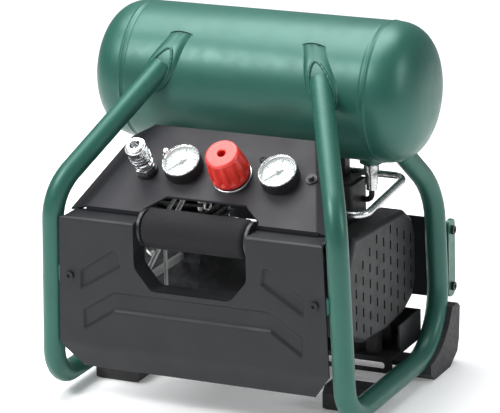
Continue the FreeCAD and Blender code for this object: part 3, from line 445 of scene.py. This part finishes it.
BY_SLOT = {"green_paint": GREEN, "panel_black": ANTHRACITE, "control_grey": CONTROL, "foam": FOAM, "rubber": RUBBER,
           "black_plastic": BLACK, "red_plastic": RED, "steel": STEEL, "chrome": CHROME, "dial_white": DIAL,
           "lens": LENS, "black_steel": BLACK_COAT, "aluminium": ALU, "iron": IRON, "hose": HOSE, "brass": BRASS,
           "dark_casting": DARK_CAST}
slot_of = {s["node"]: s["material_slot"] for s in frame["record"]["subparts"]}
for node_name, obj in nodes.items():
    obj.data.materials.clear()
    obj.data.materials.append(BY_SLOT[slot_of[node_name]])
nodes["fan_shroud"].data.materials[0] = SHROUD
nodes["pressure_switch"].data.materials[0] = SHROUD
nodes["motor_bells"].data.materials[0] = DARK_CAST


def placed(obj, mat, body="machine", replaces=()):
    """Finish a new piece: its material, body and the CAD nodes it stands for."""
    obj.data.materials.append(mat)
    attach(obj, body)
    if replaces:
        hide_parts(*replaces)
    return obj


# ---- receiver ----------------------------------------------------------
def tank_profile():
    """Half outline (x, r): superellipse (x/a)^p + (r/R)^p = 1 ends on a straight shell, with a weld bead and a
    shallow groove beside it near each end."""
    t = np.linspace(0, math.pi / 2, 34)
    end_x = SHELL_HALF + CAP_DEPTH * np.sin(t) ** (2 / CAP_POWER)
    end_r = TANK_R * np.maximum(np.cos(t), 0) ** (2 / CAP_POWER)
    shell = np.concatenate([np.linspace(0, 118, 30), np.linspace(119, SHELL_HALF, 28)])[:-1]
    near = np.linspace(0, 6, 16)
    near_r = TANK_R * (1 - (near / CAP_DEPTH) ** CAP_POWER) ** (1 / CAP_POWER)
    past = end_x > SHELL_HALF + 6.2
    x = np.concatenate([shell, SHELL_HALF + near, end_x[past]])
    r = np.concatenate([np.full(len(shell), TANK_R), near_r, end_r[past]])
    bead_x = SHELL_HALF + 1.2
    r = r + 0.65 * np.exp(-((x - bead_x) / 1.3) ** 2) - 0.35 * np.exp(-((x - bead_x + 4.2) / 1.1) ** 2)
    r[-1] = 0.0
    return np.concatenate([np.stack([-x[::-1], r[::-1]], 1), np.stack([x, r], 1)[1:]])


tank = turned("receiver", tank_profile(), (0, TANK_Y, TANK_Z), E_X, segs=144, angle=60)
placed(tank, GREEN, replaces=("tank_shell", "tank_cap_left", "tank_cap_right"))

BUNGS_X, BUNG_DROP = (112.0, -20.0, 40.0), 4.9
bung = looped(rounded([(0, 6.0), (0, 12.0), (7, 12.0), (9.5, 14.5), (9.5, 6.0)], 0.8, 4, True))
bung_parts = [turned_part(bung, (x, TANK_Y, TANK_Z - TANK_R - BUNG_DROP), (0, 0, 1), 40) for x in BUNGS_X]
placed(add_mesh("receiver_bungs", *joined(bung_parts)), GREEN)


# ---- frame loops -------------------------------------------------------
def tube_x(z):
    return LOOP_HALF - LEAN * z


def loop_corners(side):
    b = np.array([tube_x(ARM_CORNER_Z), -LOOP_Y, ARM_CORNER_Z])
    e = np.array([tube_x(REAR_CORNER_Z), LOOP_Y, REAR_CORNER_Z])
    c = np.array([tube_x(LOOP_LOW), -LOOP_Y, LOOP_LOW])
    d = np.array([tube_x(LOOP_LOW), LOOP_Y, LOOP_LOW])
    run = [b + ARM_DIR * 1.20, b, c, d, e, e + REAR_DIR * 1.15]
    return [p * np.array([side, 1, 1]) for p in run]


def tank_hit(points, ahead, radius):
    """Where the line from each point along ahead first meets the cylinder of this radius about the tank's axis."""
    py, pz = points[..., 1] - TANK_Y, points[..., 2] - TANK_Z
    a = ahead[1] ** 2 + ahead[2] ** 2
    b = py * ahead[1] + pz * ahead[2]
    c = py ** 2 + pz ** 2 - radius ** 2
    k = (-b - np.sqrt(np.maximum(b * b - a * c, 0.0))) / a
    return points + k[..., None] * ahead


def saddle_pad(side):
    """Pad where a frame arm meets the tank: rings of radius rho about the arm's line, dropped along that line onto
    a cylinder that stands a pad thickness off the shell inside rho 13 and falls to the shell by rho 15.5."""
    d = unit(ARM_DIR * np.array([side, 1, 1]))
    a, b = side_axes(d)
    mid = loop_corners(side)[1]
    rho = np.array([0, 6, 10, 12, 13, 13.7, 14.3, 14.8, 15.2, 15.5])
    lift = 2.4 * (1 - smooth((rho - 12.6) / 2.8)) - 0.3 * (rho > 15)
    t = np.linspace(0, 2 * math.pi, 64, endpoint=False)
    rows = []
    for q, up in zip(rho, lift):
        ring = mid + 1.05 * q * (np.cos(t)[:, None] * a + np.sin(t)[:, None] * b)
        rows.append(tank_hit(ring, d, TANK_R + up))
    under = tank_hit(mid + 14.0 * (np.cos(t)[:, None] * a + np.sin(t)[:, None] * b), d, TANK_R - 1.5)
    pole = np.repeat(tank_hit(mid[None], d, TANK_R - 1.5), 64, 0)
    rows += [under, pole]
    return np.array(rows).reshape(-1, 3), grid_faces(len(rows), 64, False, True)


def weld_bead(side):
    """Bead around an arm's end: a small circle carried along the line where the arm meets its pad, its radius
    rippled by overlapping weld drops."""
    d = unit(ARM_DIR * np.array([side, 1, 1]))
    a, b = side_axes(d)
    mid = loop_corners(side)[1]
    t = np.linspace(0, 2 * math.pi, 120, endpoint=False)
    ring = tank_hit(mid + (TUBE_R + 0.3) * (np.cos(t)[:, None] * a + np.sin(t)[:, None] * b), d, TANK_R + 2.3)
    along = unit_rows(np.roll(ring, -1, 0) - np.roll(ring, 1, 0))
    out = unit_rows(ring - mid - ((ring - mid) @ d)[:, None] * d)
    up = np.cross(along, out)
    w = np.linspace(0, 2 * math.pi, 10, endpoint=False)
    r = 1.5 * (1 + 0.22 * np.abs(np.sin(14 * t)))[:, None, None]
    pts = ring[:, None] + r * (np.cos(w)[None, :, None] * out[:, None] + np.sin(w)[None, :, None] * up[:, None])
    return pts.reshape(-1, 3), grid_faces(120, 10, True, True)


LOOP_BENDS = [60.0, 34.0, 70.0, 78.0]
TAB_IN, TAB_LOW, TAB_HIGH = 126.0, 129.0, 147.0
TAB_OUT = tube_x((TAB_LOW + TAB_HIGH) / 2) - 9.0
for side, word in SIDES:
    path, ahead = bent_path(loop_corners(side), LOOP_BENDS, 3.0)
    tube = tube_part(path, ahead, TUBE_R, 48)
    tab = [(side * x, PANEL_Y + SHEET + 0.2, z)
           for x, z in ((TAB_IN, TAB_LOW), (TAB_OUT, TAB_LOW), (TAB_OUT, TAB_HIGH), (TAB_IN, TAB_HIGH))]
    tab_piece = plate_part(rounded(tab, 2.5, 4, True), (0, 1, 0), 3.0)
    loop = add_mesh("frame_tube_" + word, *joined([tube, tab_piece]))
    placed(loop, GREEN, replaces=("frame_loop_" + word,))
    pad = add_mesh("saddle_pad_" + word, *joined([saddle_pad(side), weld_bead(side)]), angle=50)
    placed(pad, GREEN, replaces=("tank_saddles",) if side > 0 else ())


# ---- front panel -------------------------------------------------------
def inside_depth(x, z, outline, width):
    """0 outside a closed outline, rising smoothly to 1 at width inside it; distance is to the nearest side."""
    p = np.asarray(outline, float)
    q = np.roll(p, -1, 0)
    best = np.full(x.shape, 1e9)
    inside = np.zeros(x.shape, bool)
    for (ax, az), (bx, bz) in zip(p, q):
        ex, ez = bx - ax, bz - az
        k = np.clip(((x - ax) * ex + (z - az) * ez) / (ex * ex + ez * ez), 0, 1)
        best = np.minimum(best, np.hypot(x - ax - k * ex, z - az - k * ez))
        cross = (az > z) != (bz > z)
        with np.errstate(divide="ignore", invalid="ignore"):
            inside ^= cross & (x < ax + (z - az) * ex / np.where(ez == 0, 1e-9, ez))
    return np.where(inside, smooth(best / width), 0.0)


CHEVRON = [(78, 169.5), (85, 169.5), (121.5, 145), (122, 124), (76, 152.5)]
BAND = [(-84, 126.5), (84, 126.5), (120, 104), (120, 82), (85, 105), (-85, 105), (-120, 82), (-120, 104)]
BEND_STEPS = 7
PANEL_RUN = rounded([(PANEL_LOW_Y, PANEL_LOW), (PANEL_Y, PANEL_FOLD), (PANEL_Y, PANEL_TOP), (-100.0, PANEL_TOP)],
                    3.5, BEND_STEPS)
PANEL_S = np.concatenate([[0], np.cumsum(np.linalg.norm(np.diff(PANEL_RUN, axis=0), axis=1))])
PANEL_TOTAL = PANEL_S[-1]
FACE = slice(0, BEND_STEPS + 2)     # fold and face, where height only grows
WINDOW_FLAT = 43.0                  # half width of the window's straight lower edge
PRESS_DEEP, PRESS_SLOPE = 2.7, 2.4


def panel_line(s):
    """Point (y, z) at each length s along the panel's bent section."""
    return np.interp(s, PANEL_S, PANEL_RUN[:, 0]), np.interp(s, PANEL_S, PANEL_RUN[:, 1])


def length_at(z):
    """Length along the bent section at which the fold or face reaches height z."""
    return np.interp(z, PANEL_RUN[FACE, 1], PANEL_S[FACE])


def panel_half_width(y, z):
    """Half width: it follows the leaning tubes on the face, narrows on the lower fold and again on the ledge."""
    face = tube_x(z) - TUBE_R - 0.6
    fold = 127.0 + (tube_x(PANEL_FOLD) - TUBE_R - 0.6 - 127.0) * (z - PANEL_LOW) / (PANEL_FOLD - PANEL_LOW)
    ledge = face + (138.0 - face) * smooth((y - PANEL_Y) / 4.0)
    return np.where(z < PANEL_FOLD, fold, ledge)


def pressed(x, s):
    """Point at x across and length s along the section, set back where a band is pressed in."""
    y, z = panel_line(s)
    press = inside_depth(np.abs(x), z, CHEVRON, PRESS_SLOPE) + inside_depth(x, z, BAND, PRESS_SLOPE)
    return np.stack([x, y + PRESS_DEEP * press * (y < PANEL_Y + 0.6), z], -1)


def panel_surface():
    """Pressed sheet: the bent section carried across x, in a block each side of the window and one below it."""
    side_s = float(length_at(WINDOW_SIDE))
    low_rows = np.linspace(0, side_s, 100)
    high_rows = np.unique(np.concatenate([np.linspace(side_s, PANEL_TOTAL, 62), PANEL_S[PANEL_S > side_s]]))[1:]
    s = np.concatenate([low_rows, high_rows])
    y, z = panel_line(s)
    u = np.linspace(0, 1, 84)
    x = WINDOW_HALF + u[None] * (panel_half_width(y, z) - WINDOW_HALF)[:, None]
    parts = []
    for sign in (1, -1):
        pts = pressed(sign * x, np.repeat(s[:, None], len(u), 1))
        parts.append((pts.reshape(-1, 3), grid_faces(len(s), len(u))))
    x = np.unique(np.concatenate([np.linspace(-WINDOW_HALF, WINDOW_HALF, 121), [-WINDOW_FLAT, WINDOW_FLAT]]))
    corner = np.clip((np.abs(x) - WINDOW_FLAT) / (WINDOW_HALF - WINDOW_FLAT), 0, 1)
    top_s = length_at(WINDOW_LOW + (WINDOW_SIDE - WINDOW_LOW) * corner)
    s = low_rows[:, None] / side_s * top_s[None]
    pts = pressed(np.repeat(x[None], len(low_rows), 0), s)
    parts.append((pts.reshape(-1, 3), grid_faces(len(low_rows), len(x))))
    return joined(parts)


panel = add_mesh("front_panel_sheet", *panel_surface(), angle=50)
thicken(panel, 0.35)
placed(panel, ANTHRACITE, replaces=("front_panel",))
RIM, CHEEK_LOW, CHEEK_HIGH, CHEEK_FRONT, CHEEK_BACK = 2.0, 168.0, 198.5, -129.5, -89.5
for side, word in SIDES:
    cheek = [(side * WINDOW_HALF, y, z) for y, z in (
        (CHEEK_FRONT, CHEEK_LOW), (CHEEK_BACK, CHEEK_LOW), (CHEEK_BACK, CHEEK_HIGH), (CHEEK_FRONT, CHEEK_HIGH))]
    cheek = rounded(cheek, 7.0, 6, True)
    piece = add_mesh("handle_cheek_" + word, *plate_part(cheek, (side, 0, 0), RIM))
    placed(piece, ANTHRACITE)


def window_line(wide, flat, side_z, low_z, radius):
    """Window outline (x, z) from the top of one side down, across and up the other, with eased corners."""
    half = [(wide, CHEEK_LOW + 1), (wide, side_z), (flat, low_z)]
    return rounded([(-x, z) for x, z in half] + half[::-1], radius, 6)


def window_flange():
    """Turned-in rim of the window: the window's outline, from one cheek down and round to the other, carried back
    24 mm; its inner and outer walls are a rim's thickness apart and joined at both edges."""
    inner = window_line(WINDOW_HALF, WINDOW_FLAT, WINDOW_SIDE, WINDOW_LOW, 5.0)
    outer = window_line(WINDOW_HALF + RIM, WINDOW_FLAT + 0.9, WINDOW_SIDE - 0.8, WINDOW_LOW - RIM, 6.0)
    deep = [-130.2, -122.0, -114.0, -107.1, -106.5]
    rows = [np.stack([inner[:, 0], np.full(len(inner), y), inner[:, 1]], -1) for y in deep]
    rows += [np.stack([outer[:, 0], np.full(len(outer), y), outer[:, 1]], -1) for y in deep[::-1]]
    return np.array(rows).reshape(-1, 3), grid_faces(len(rows), len(inner), True, False)


placed(add_mesh("window_flange", *window_flange()), ANTHRACITE)


# ---- control panel -----------------------------------------------------
CTRL_HALF, CTRL_TAPER = 125.0, 37.0          # half width at the lower edge, and how much it narrows
NOTCH_HALF, NOTCH_FLAT, NOTCH_DEEP = 63.5, 46.0, 22.0
NOTCH_FALL, NOTCH_RUN = 18.0, 17.5           # sloping ends of the notch
WING_REACH, WING_DROP = 20.0, 8.0
HEM_DROPS = np.array([4.6, 3.0, 1.6, 0.7, 0.2])


def control_surface():
    """Sheet over (x, s) on the slope: flat between its leaning sides, then a wing on each side that drops 8 mm over
    20 mm with a rolled bend. Its lower edge is notched round the grip, and a hem rolls down from it."""
    notch_u, inner_u = NOTCH_HALF / CTRL_HALF, (NOTCH_HALF - 0.1) / CTRL_HALF
    u = np.unique(np.concatenate([np.linspace(-1, 1, 161), [-notch_u, -inner_u, inner_u, notch_u]]))
    v = np.linspace(0, 1, 60)
    wide = np.abs(u) * CTRL_HALF
    outside = wide > NOTCH_HALF - 0.05
    low = np.where(wide < NOTCH_FLAT, NOTCH_DEEP, NOTCH_DEEP - NOTCH_FALL * (wide - NOTCH_FLAT) / NOTCH_RUN)
    low = np.where(outside, 0.0, low)
    s = low[None] + v[:, None] * (SLOPE_LEN - low)[None]
    x = np.sign(u)[None] * wide[None] * (CTRL_HALF - CTRL_TAPER * s / SLOPE_LEN) / CTRL_HALF
    rows = np.stack([x, s, np.zeros_like(x)], -1)
    down = HEM_DROPS[:, None] * np.where(outside, 1.0, 0.45)[None]
    hem = np.stack([np.repeat(x[:1], len(HEM_DROPS), 0), s[:1] - down * math.sin(SLOPE), -down * math.cos(SLOPE)], -1)
    blocks = [np.concatenate([hem, rows])]
    w = np.linspace(0, 1, 14)
    edge_s = v * SLOPE_LEN
    edge = CTRL_HALF - CTRL_TAPER * v
    reach = WING_REACH * (1 - smooth((v - 0.88) / 0.12))
    fall = -WING_DROP * (w + 0.12 * np.sin(math.pi * w))[None] * (reach / WING_REACH)[:, None]
    for sign in (1, -1):
        wing_x = sign * (edge[:, None] + reach[:, None] * w[None])
        blocks.append(np.stack([wing_x, np.repeat(edge_s[:, None], len(w), 1), fall], -1))
    parts = []
    for block in blocks:
        flat = block.reshape(-1, 3)
        pts = np.array([0.0, SLOPE_Y, SLOPE_Z]) + flat[:, :1] * E_X + flat[:, 1:2] * E_UP + flat[:, 2:] * E_N
        parts.append((pts, grid_faces(block.shape[0], block.shape[1])))
    return joined(parts)


control = add_mesh("control_panel_sheet", *control_surface(), angle=50)
thicken(control, 0.3)
placed(control, CONTROL, replaces=("control_panel",))


# ---- hand grip ---------------------------------------------------------
def grip_profile():
    """(h, r) along the handle: foam sleeve, full in the middle, with soft rolled ends."""
    h = np.linspace(-GRIP_HALF, GRIP_HALF, 60)
    roll = 1 - smooth((GRIP_HALF - np.abs(h)) / 5.0)
    r = GRIP_R - 0.15 - 3.6 * roll ** 2 - 0.35 * np.cos(h / 19.0) ** 2
    inner = GRIP_R - 6.2
    return np.concatenate([[[-GRIP_HALF, inner]], np.stack([h, r], 1), [[GRIP_HALF, inner]]])


grip = turned("foam_sleeve", grip_profile(), (0, GRIP_Y, GRIP_Z), E_X, segs=80, closed=True, angle=60)
placed(grip, FOAM, replaces=("foam_grip",))
rings = []
for side in (1, -1):
    prof = rounded([(0.2, 14.2), (0.2, 18.4), (4.8, 18.4), (4.8, 14.2)], 1.2, 4, True)
    rings.append(turned_part(looped(prof), (side * GRIP_HALF, GRIP_Y, GRIP_Z), (side, 0, 0), 64))
placed(add_mesh("grip_end_rings", *joined(rings)), BLACK, replaces=("grip_rings",))

# ---- regulator knob ----------------------------------------------------
FLUTES = 12


def flutes(h, t):
    """Grip flutes: r is cut by a rounded groove FLUTES times a turn, fading in from h 9.5 to 12 and out from h 31
    to 36."""
    lobe = np.clip((np.cos(FLUTES * t) + 0.25) / 1.25, 0, 1) ** 0.8
    fade = smooth((h - 9.5) / 2.5) * (1 - smooth((h - 31.0) / 5.0))
    return 1 - 0.13 * lobe * fade


knob_profile = rounded([(39.0, 4.0), (39.0, 15.6), (37.5, 17.0), (22.6, 19.5), (9.6, 20.5), (5.6, 20.5), (5.6, 6.3),
                        (28.5, 6.3), (28.5, 4.0)], 1.1, 4, True)
knob_base = on_slope(*KNOB_AT)
knob = turned("regulator_cap", densified(knob_profile, 1.2), knob_base, E_N, segs=192, closed=True,
              radius_scale=flutes, angle=50)
placed(knob, RED, "knob", ("regulator_knob",))
ring = rounded([(0.2, 17.1), (0.2, 21.4), (3.2, 20.6), (3.2, 17.1)], 0.7, 4, True)
placed(turned("regulator_ring_bright", ring, knob_base, E_N, closed=True), CHROME,
       replaces=("regulator_ring",))

# ---- gauges ------------------------------------------------------------
SCALE_START, SCALE_SWEEP, SCALE_TICKS = -135.0, 270.0, 40
TICK_SIZES = ((10, 4.4, 0.50), (5, 3.2, 0.34), (1, 2.0, 0.16))     # every so many ticks: length and half width
DIAL_H, TICK_R, NUMBER_R, NUMBER_SIZE = 9.64, 16.6, 9.6, 3.4


def scale_dir(turn):
    """Unit vector on the slope, turn of the way round the scale, clockwise from its start."""
    a = math.radians(SCALE_START + SCALE_SWEEP * turn)
    return math.sin(a) * E_X + math.cos(a) * E_UP


bezel = looped(rounded([(11.9, 17.6), (11.9, 20.0), (13.6, 20.0), (14.0, 19.3), (14.0, 18.3), (12.6, 17.4)],
                       0.35, 3, True))
ticks, bezels = [], []
for gx, gs in GAUGES_AT:
    base = on_slope(gx, gs)
    bezels.append(turned_part(bezel, base, E_N, 72))
    for k in range(SCALE_TICKS + 1):
        length, wide = next((size, half) for every, size, half in TICK_SIZES if k % every == 0)
        out = scale_dir(k / SCALE_TICKS)
        across = np.cross(E_N, out)
        quad = [base + r * out + w * across + DIAL_H * E_N for r, w in (
            (TICK_R - length, -wide), (TICK_R, -wide), (TICK_R, wide), (TICK_R - length, wide))]
        ticks.append(plate_part(quad, E_N, 0.12, 0.02, 1))
    arc_dir = np.array([scale_dir(turn) for turn in np.linspace(0, 1, 61)])
    rows = [base + r * arc_dir + h * E_N for r, h in ((16.7, 9.58), (16.7, 9.72), (17.1, 9.72), (17.1, 9.58))]
    ticks.append((np.array(rows).reshape(-1, 3), grid_faces(4, 61, True, False)))
placed(add_mesh("gauge_scale_marks", *joined(ticks)), INK)
placed(add_mesh("gauge_bezels", *joined(bezels)), CHROME)


def dial_number(text, centre, height):
    """A scale number as a thin raised mesh lying on the slope."""
    curve = bpy.data.curves.new("n" + text, "FONT")
    curve.body, curve.size, curve.align_x, curve.align_y = text, height * 0.001, "CENTER", "CENTER"
    curve.extrude = 0.00004
    tmp = bpy.data.objects.new("n" + text, curve)
    bpy.context.scene.collection.objects.link(tmp)
    bpy.context.view_layer.update()
    mesh = bpy.data.meshes.new_from_object(tmp.evaluated_get(bpy.context.evaluated_depsgraph_get()))
    co = np.zeros(len(mesh.vertices) * 3)
    mesh.vertices.foreach_get("co", co)
    co = co.reshape(-1, 3) * 1000.0
    pts = centre + co[:, :1] * E_X + co[:, 1:2] * E_UP + co[:, 2:] * E_N
    faces = [list(p.vertices) for p in mesh.polygons]
    bpy.data.objects.remove(tmp)
    bpy.data.curves.remove(curve)
    bpy.data.meshes.remove(mesh)
    return pts, faces


numbers = []
for gx, gs in GAUGES_AT:
    for k in range(5):
        at = on_slope(gx, gs, 9.70) + NUMBER_R * scale_dir(k / 4)
        numbers.append(dial_number(str(4 * k), at, NUMBER_SIZE))
placed(add_mesh("gauge_numbers", *joined(numbers), merge=1e-6), INK)

# ---- quick coupler -----------------------------------------------------
coupler_base = on_slope(*COUPLER_AT)


def knurl(h, t):
    """Fine ridges round the plain band of the collar, between h 32.5 and 40."""
    band = smooth((h - 32.5) / 0.6) * (1 - smooth((h - 39.5) / 0.6))
    return 1 - 0.035 * band * (0.5 + 0.5 * np.cos(40 * t))


body = rounded([(44.0, 5.25), (44.0, 8.8), (42.9, 9.6), (42.0, 9.6), (42.0, 6.45), (14.0, 6.45), (14.0, 9.6),
                (11.0, 9.6), (11.0, 8.4), (4.0, 8.4), (4.0, 5.0), (28.5, 4.25), (28.5, 5.25)], 0.5, 3, True)
placed(turned("coupler_socket", body, coupler_base, E_N, closed=True), CHROME, replaces=("coupler_body",))
collar = rounded([(20.5, 6.6), (20.5, 10.5), (21.5, 11.0), (24.5, 11.0), (24.5, 10.2), (26.1, 10.2), (26.1, 11.0),
                  (28.5, 11.0), (28.5, 10.2), (30.1, 10.2), (30.1, 11.0), (32.6, 11.0), (40.5, 11.0), (41.5, 10.5),
                  (41.5, 6.6)], 0.35, 3, True)
sleeve = turned("coupler_collar_ring", densified(collar, 0.8), coupler_base, E_N, segs=160, closed=True,
                radius_scale=knurl)
placed(sleeve, CHROME, "coupler_collar", ("coupler_sleeve",))
hexagon = [coupler_base + 11.0 * (math.cos(a) * E_X + math.sin(a) * E_UP) + 4.1 * E_N
           for a in np.radians(np.arange(0, 360, 60))]
placed(add_mesh("coupler_nut", *plate_part(rounded(hexagon, 0.8, 3, True), E_N, 6.8, 0.5)), STEEL)

# ---- small fittings on the control panel -------------------------------
screw = rounded([(0.1, 0.0), (0.1, 3.6), (1.6, 3.6), (2.3, 2.4), (2.3, 1.6), (1.2, 1.4), (1.2, 0.0)], 0.3, 3)
placed(turned("control_panel_screw", screw, on_slope(42, 77), E_N, 32), BLACK_COAT)
stud = rounded([(0.1, 0.0), (0.1, 5.0), (3.0, 5.0), (3.0, 3.2), (9.0, 3.2), (9.6, 2.4), (9.6, 0.0)], 0.4, 3)
placed(turned("vent_stud", stud, on_slope(-60, 70), E_N, 32), STEEL)

# ---- stay and breather line behind the window --------------------------
stay_top, stay_low = np.array([-33.5, -68.0, 213.5]), np.array([-80.4, -75.0, 121.0])
stay = tube_part(*bent_path([stay_top, (stay_top + stay_low) / 2 + (0, 0.4, 0), stay_low], [400.0], 2.0), 2.4, 24)
bolt = turned_part(rounded([(0, 0), (0, 4.0), (84, 4.0), (84, 6.2), (92, 6.2), (92, 3.4), (94.5, 3.0), (94.5, 0)],
                           0.5, 3), (-80.4, 16.0, 121.0), (0, -1, 0), 32)
block = turned_part(rounded([(0, 0), (0, 6.0), (9, 6.0), (12, 4.4), (16, 4.4), (16, 0)], 0.7, 3),
                    (-74.0, -62.0, 149.0), (0.2, -0.8, 0.5), 6)
placed(add_mesh("stay_rod", *joined([stay, bolt, block])), ZINC)
NYLON = moulded("pale_nylon", (0.55, 0.56, 0.54), 0.4, 1500, 0.0001)
line_pts = [(-45, -55, 214), (-57.5, -68, 190), (-57, -70, 100), (-56, -20, 62), (-56, 13, 60)]
line = tube_part(*bent_path(line_pts, [16.0, 26.0, 20.0], 6.0), 1.9, 20)
placed(add_mesh("breather_line", *line), NYLON)

# ---- camera and lights -------------------------------------------------
AZ, EL, ROLL = 0.446955, 0.294451, -0.025545     # radians
CAMERA_AT = np.array([1.3445, -2.7899 + SHIFT_Y * 0.001, 1.1346])
FLOOR_HALF, FLOOR_ROWS = 6, 9
forward = np.array([-math.sin(AZ) * math.cos(EL), math.cos(AZ) * math.cos(EL), -math.sin(EL)])
level = np.array([math.cos(AZ), math.sin(AZ), 0.0])
over = np.cross(level, forward)
right = math.cos(ROLL) * level + math.sin(ROLL) * over
upward = -math.sin(ROLL) * level + math.cos(ROLL) * over
cam = bpy.data.cameras.new("camera")
cam_obj = bpy.data.objects.new("camera", cam)
bpy.context.scene.collection.objects.link(cam_obj)
cam.sensor_width, cam.lens = 36.0, 231.72
cam.shift_x, cam.shift_y = -0.0044, -0.018
cam.clip_start, cam.clip_end = 0.1, 50.0
m = np.eye(4)
m[:3, 0], m[:3, 1], m[:3, 2], m[:3, 3] = right, upward, -forward, CAMERA_AT
cam_obj.matrix_world = Matrix(m.tolist())
bpy.context.scene.camera = cam_obj

world = bpy.data.worlds.new("studio")
bpy.context.scene.world = world
world.use_nodes = True
world.node_tree.nodes["Background"].inputs["Color"].default_value = (0.93, 0.96, 1.0, 1.0)
world.node_tree.nodes["Background"].inputs["Strength"].default_value = 0.30


def softbox(name, at, to, size, power, color=(1, 1, 1)):
    lamp = bpy.data.lights.new(name, "AREA")
    lamp.shape, lamp.size, lamp.size_y, lamp.energy, lamp.color = "RECTANGLE", size[0], size[1], power, color
    obj = bpy.data.objects.new(name, lamp)
    bpy.context.scene.collection.objects.link(obj)
    obj.location = at
    obj.rotation_mode = "QUATERNION"
    obj.rotation_quaternion = (Vector(to) - Vector(at)).to_track_quat("-Z", "Y")


softbox("key", (-0.9, -1.3, 1.7), (0, 0, 0.2), (0.9, 0.7), 34)
softbox("top", (-0.35, 0.30, 1.9), (0, 0.05, 0.3), (1.7, 1.3), 52)
softbox("side", (1.9, 0.1, 1.0), (0, 0, 0.25), (0.5, 0.9), 10)

t = np.linspace(-FLOOR_HALF, FLOOR_HALF, FLOOR_ROWS)
fx, fy = np.meshgrid(t, t, indexing="ij")
floor_mesh = bpy.data.meshes.new("floor")
floor_mesh.from_pydata(np.stack([fx, fy, np.zeros_like(fx)], -1).reshape(-1, 3).tolist(), [],
                       [tuple(q) for q in grid_faces(FLOOR_ROWS, FLOOR_ROWS)])
floor = bpy.data.objects.new("floor", floor_mesh)
bpy.context.scene.collection.objects.link(floor)
pale = Finish("pale_floor", (0.93, 0.935, 0.94), 0.8, 0.0, Emission_Color=(1, 1, 1, 1), Emission_Strength=0.16)
floor.data.materials.append(pale.mat)
bpy.context.scene.view_settings.view_transform = "Standard"
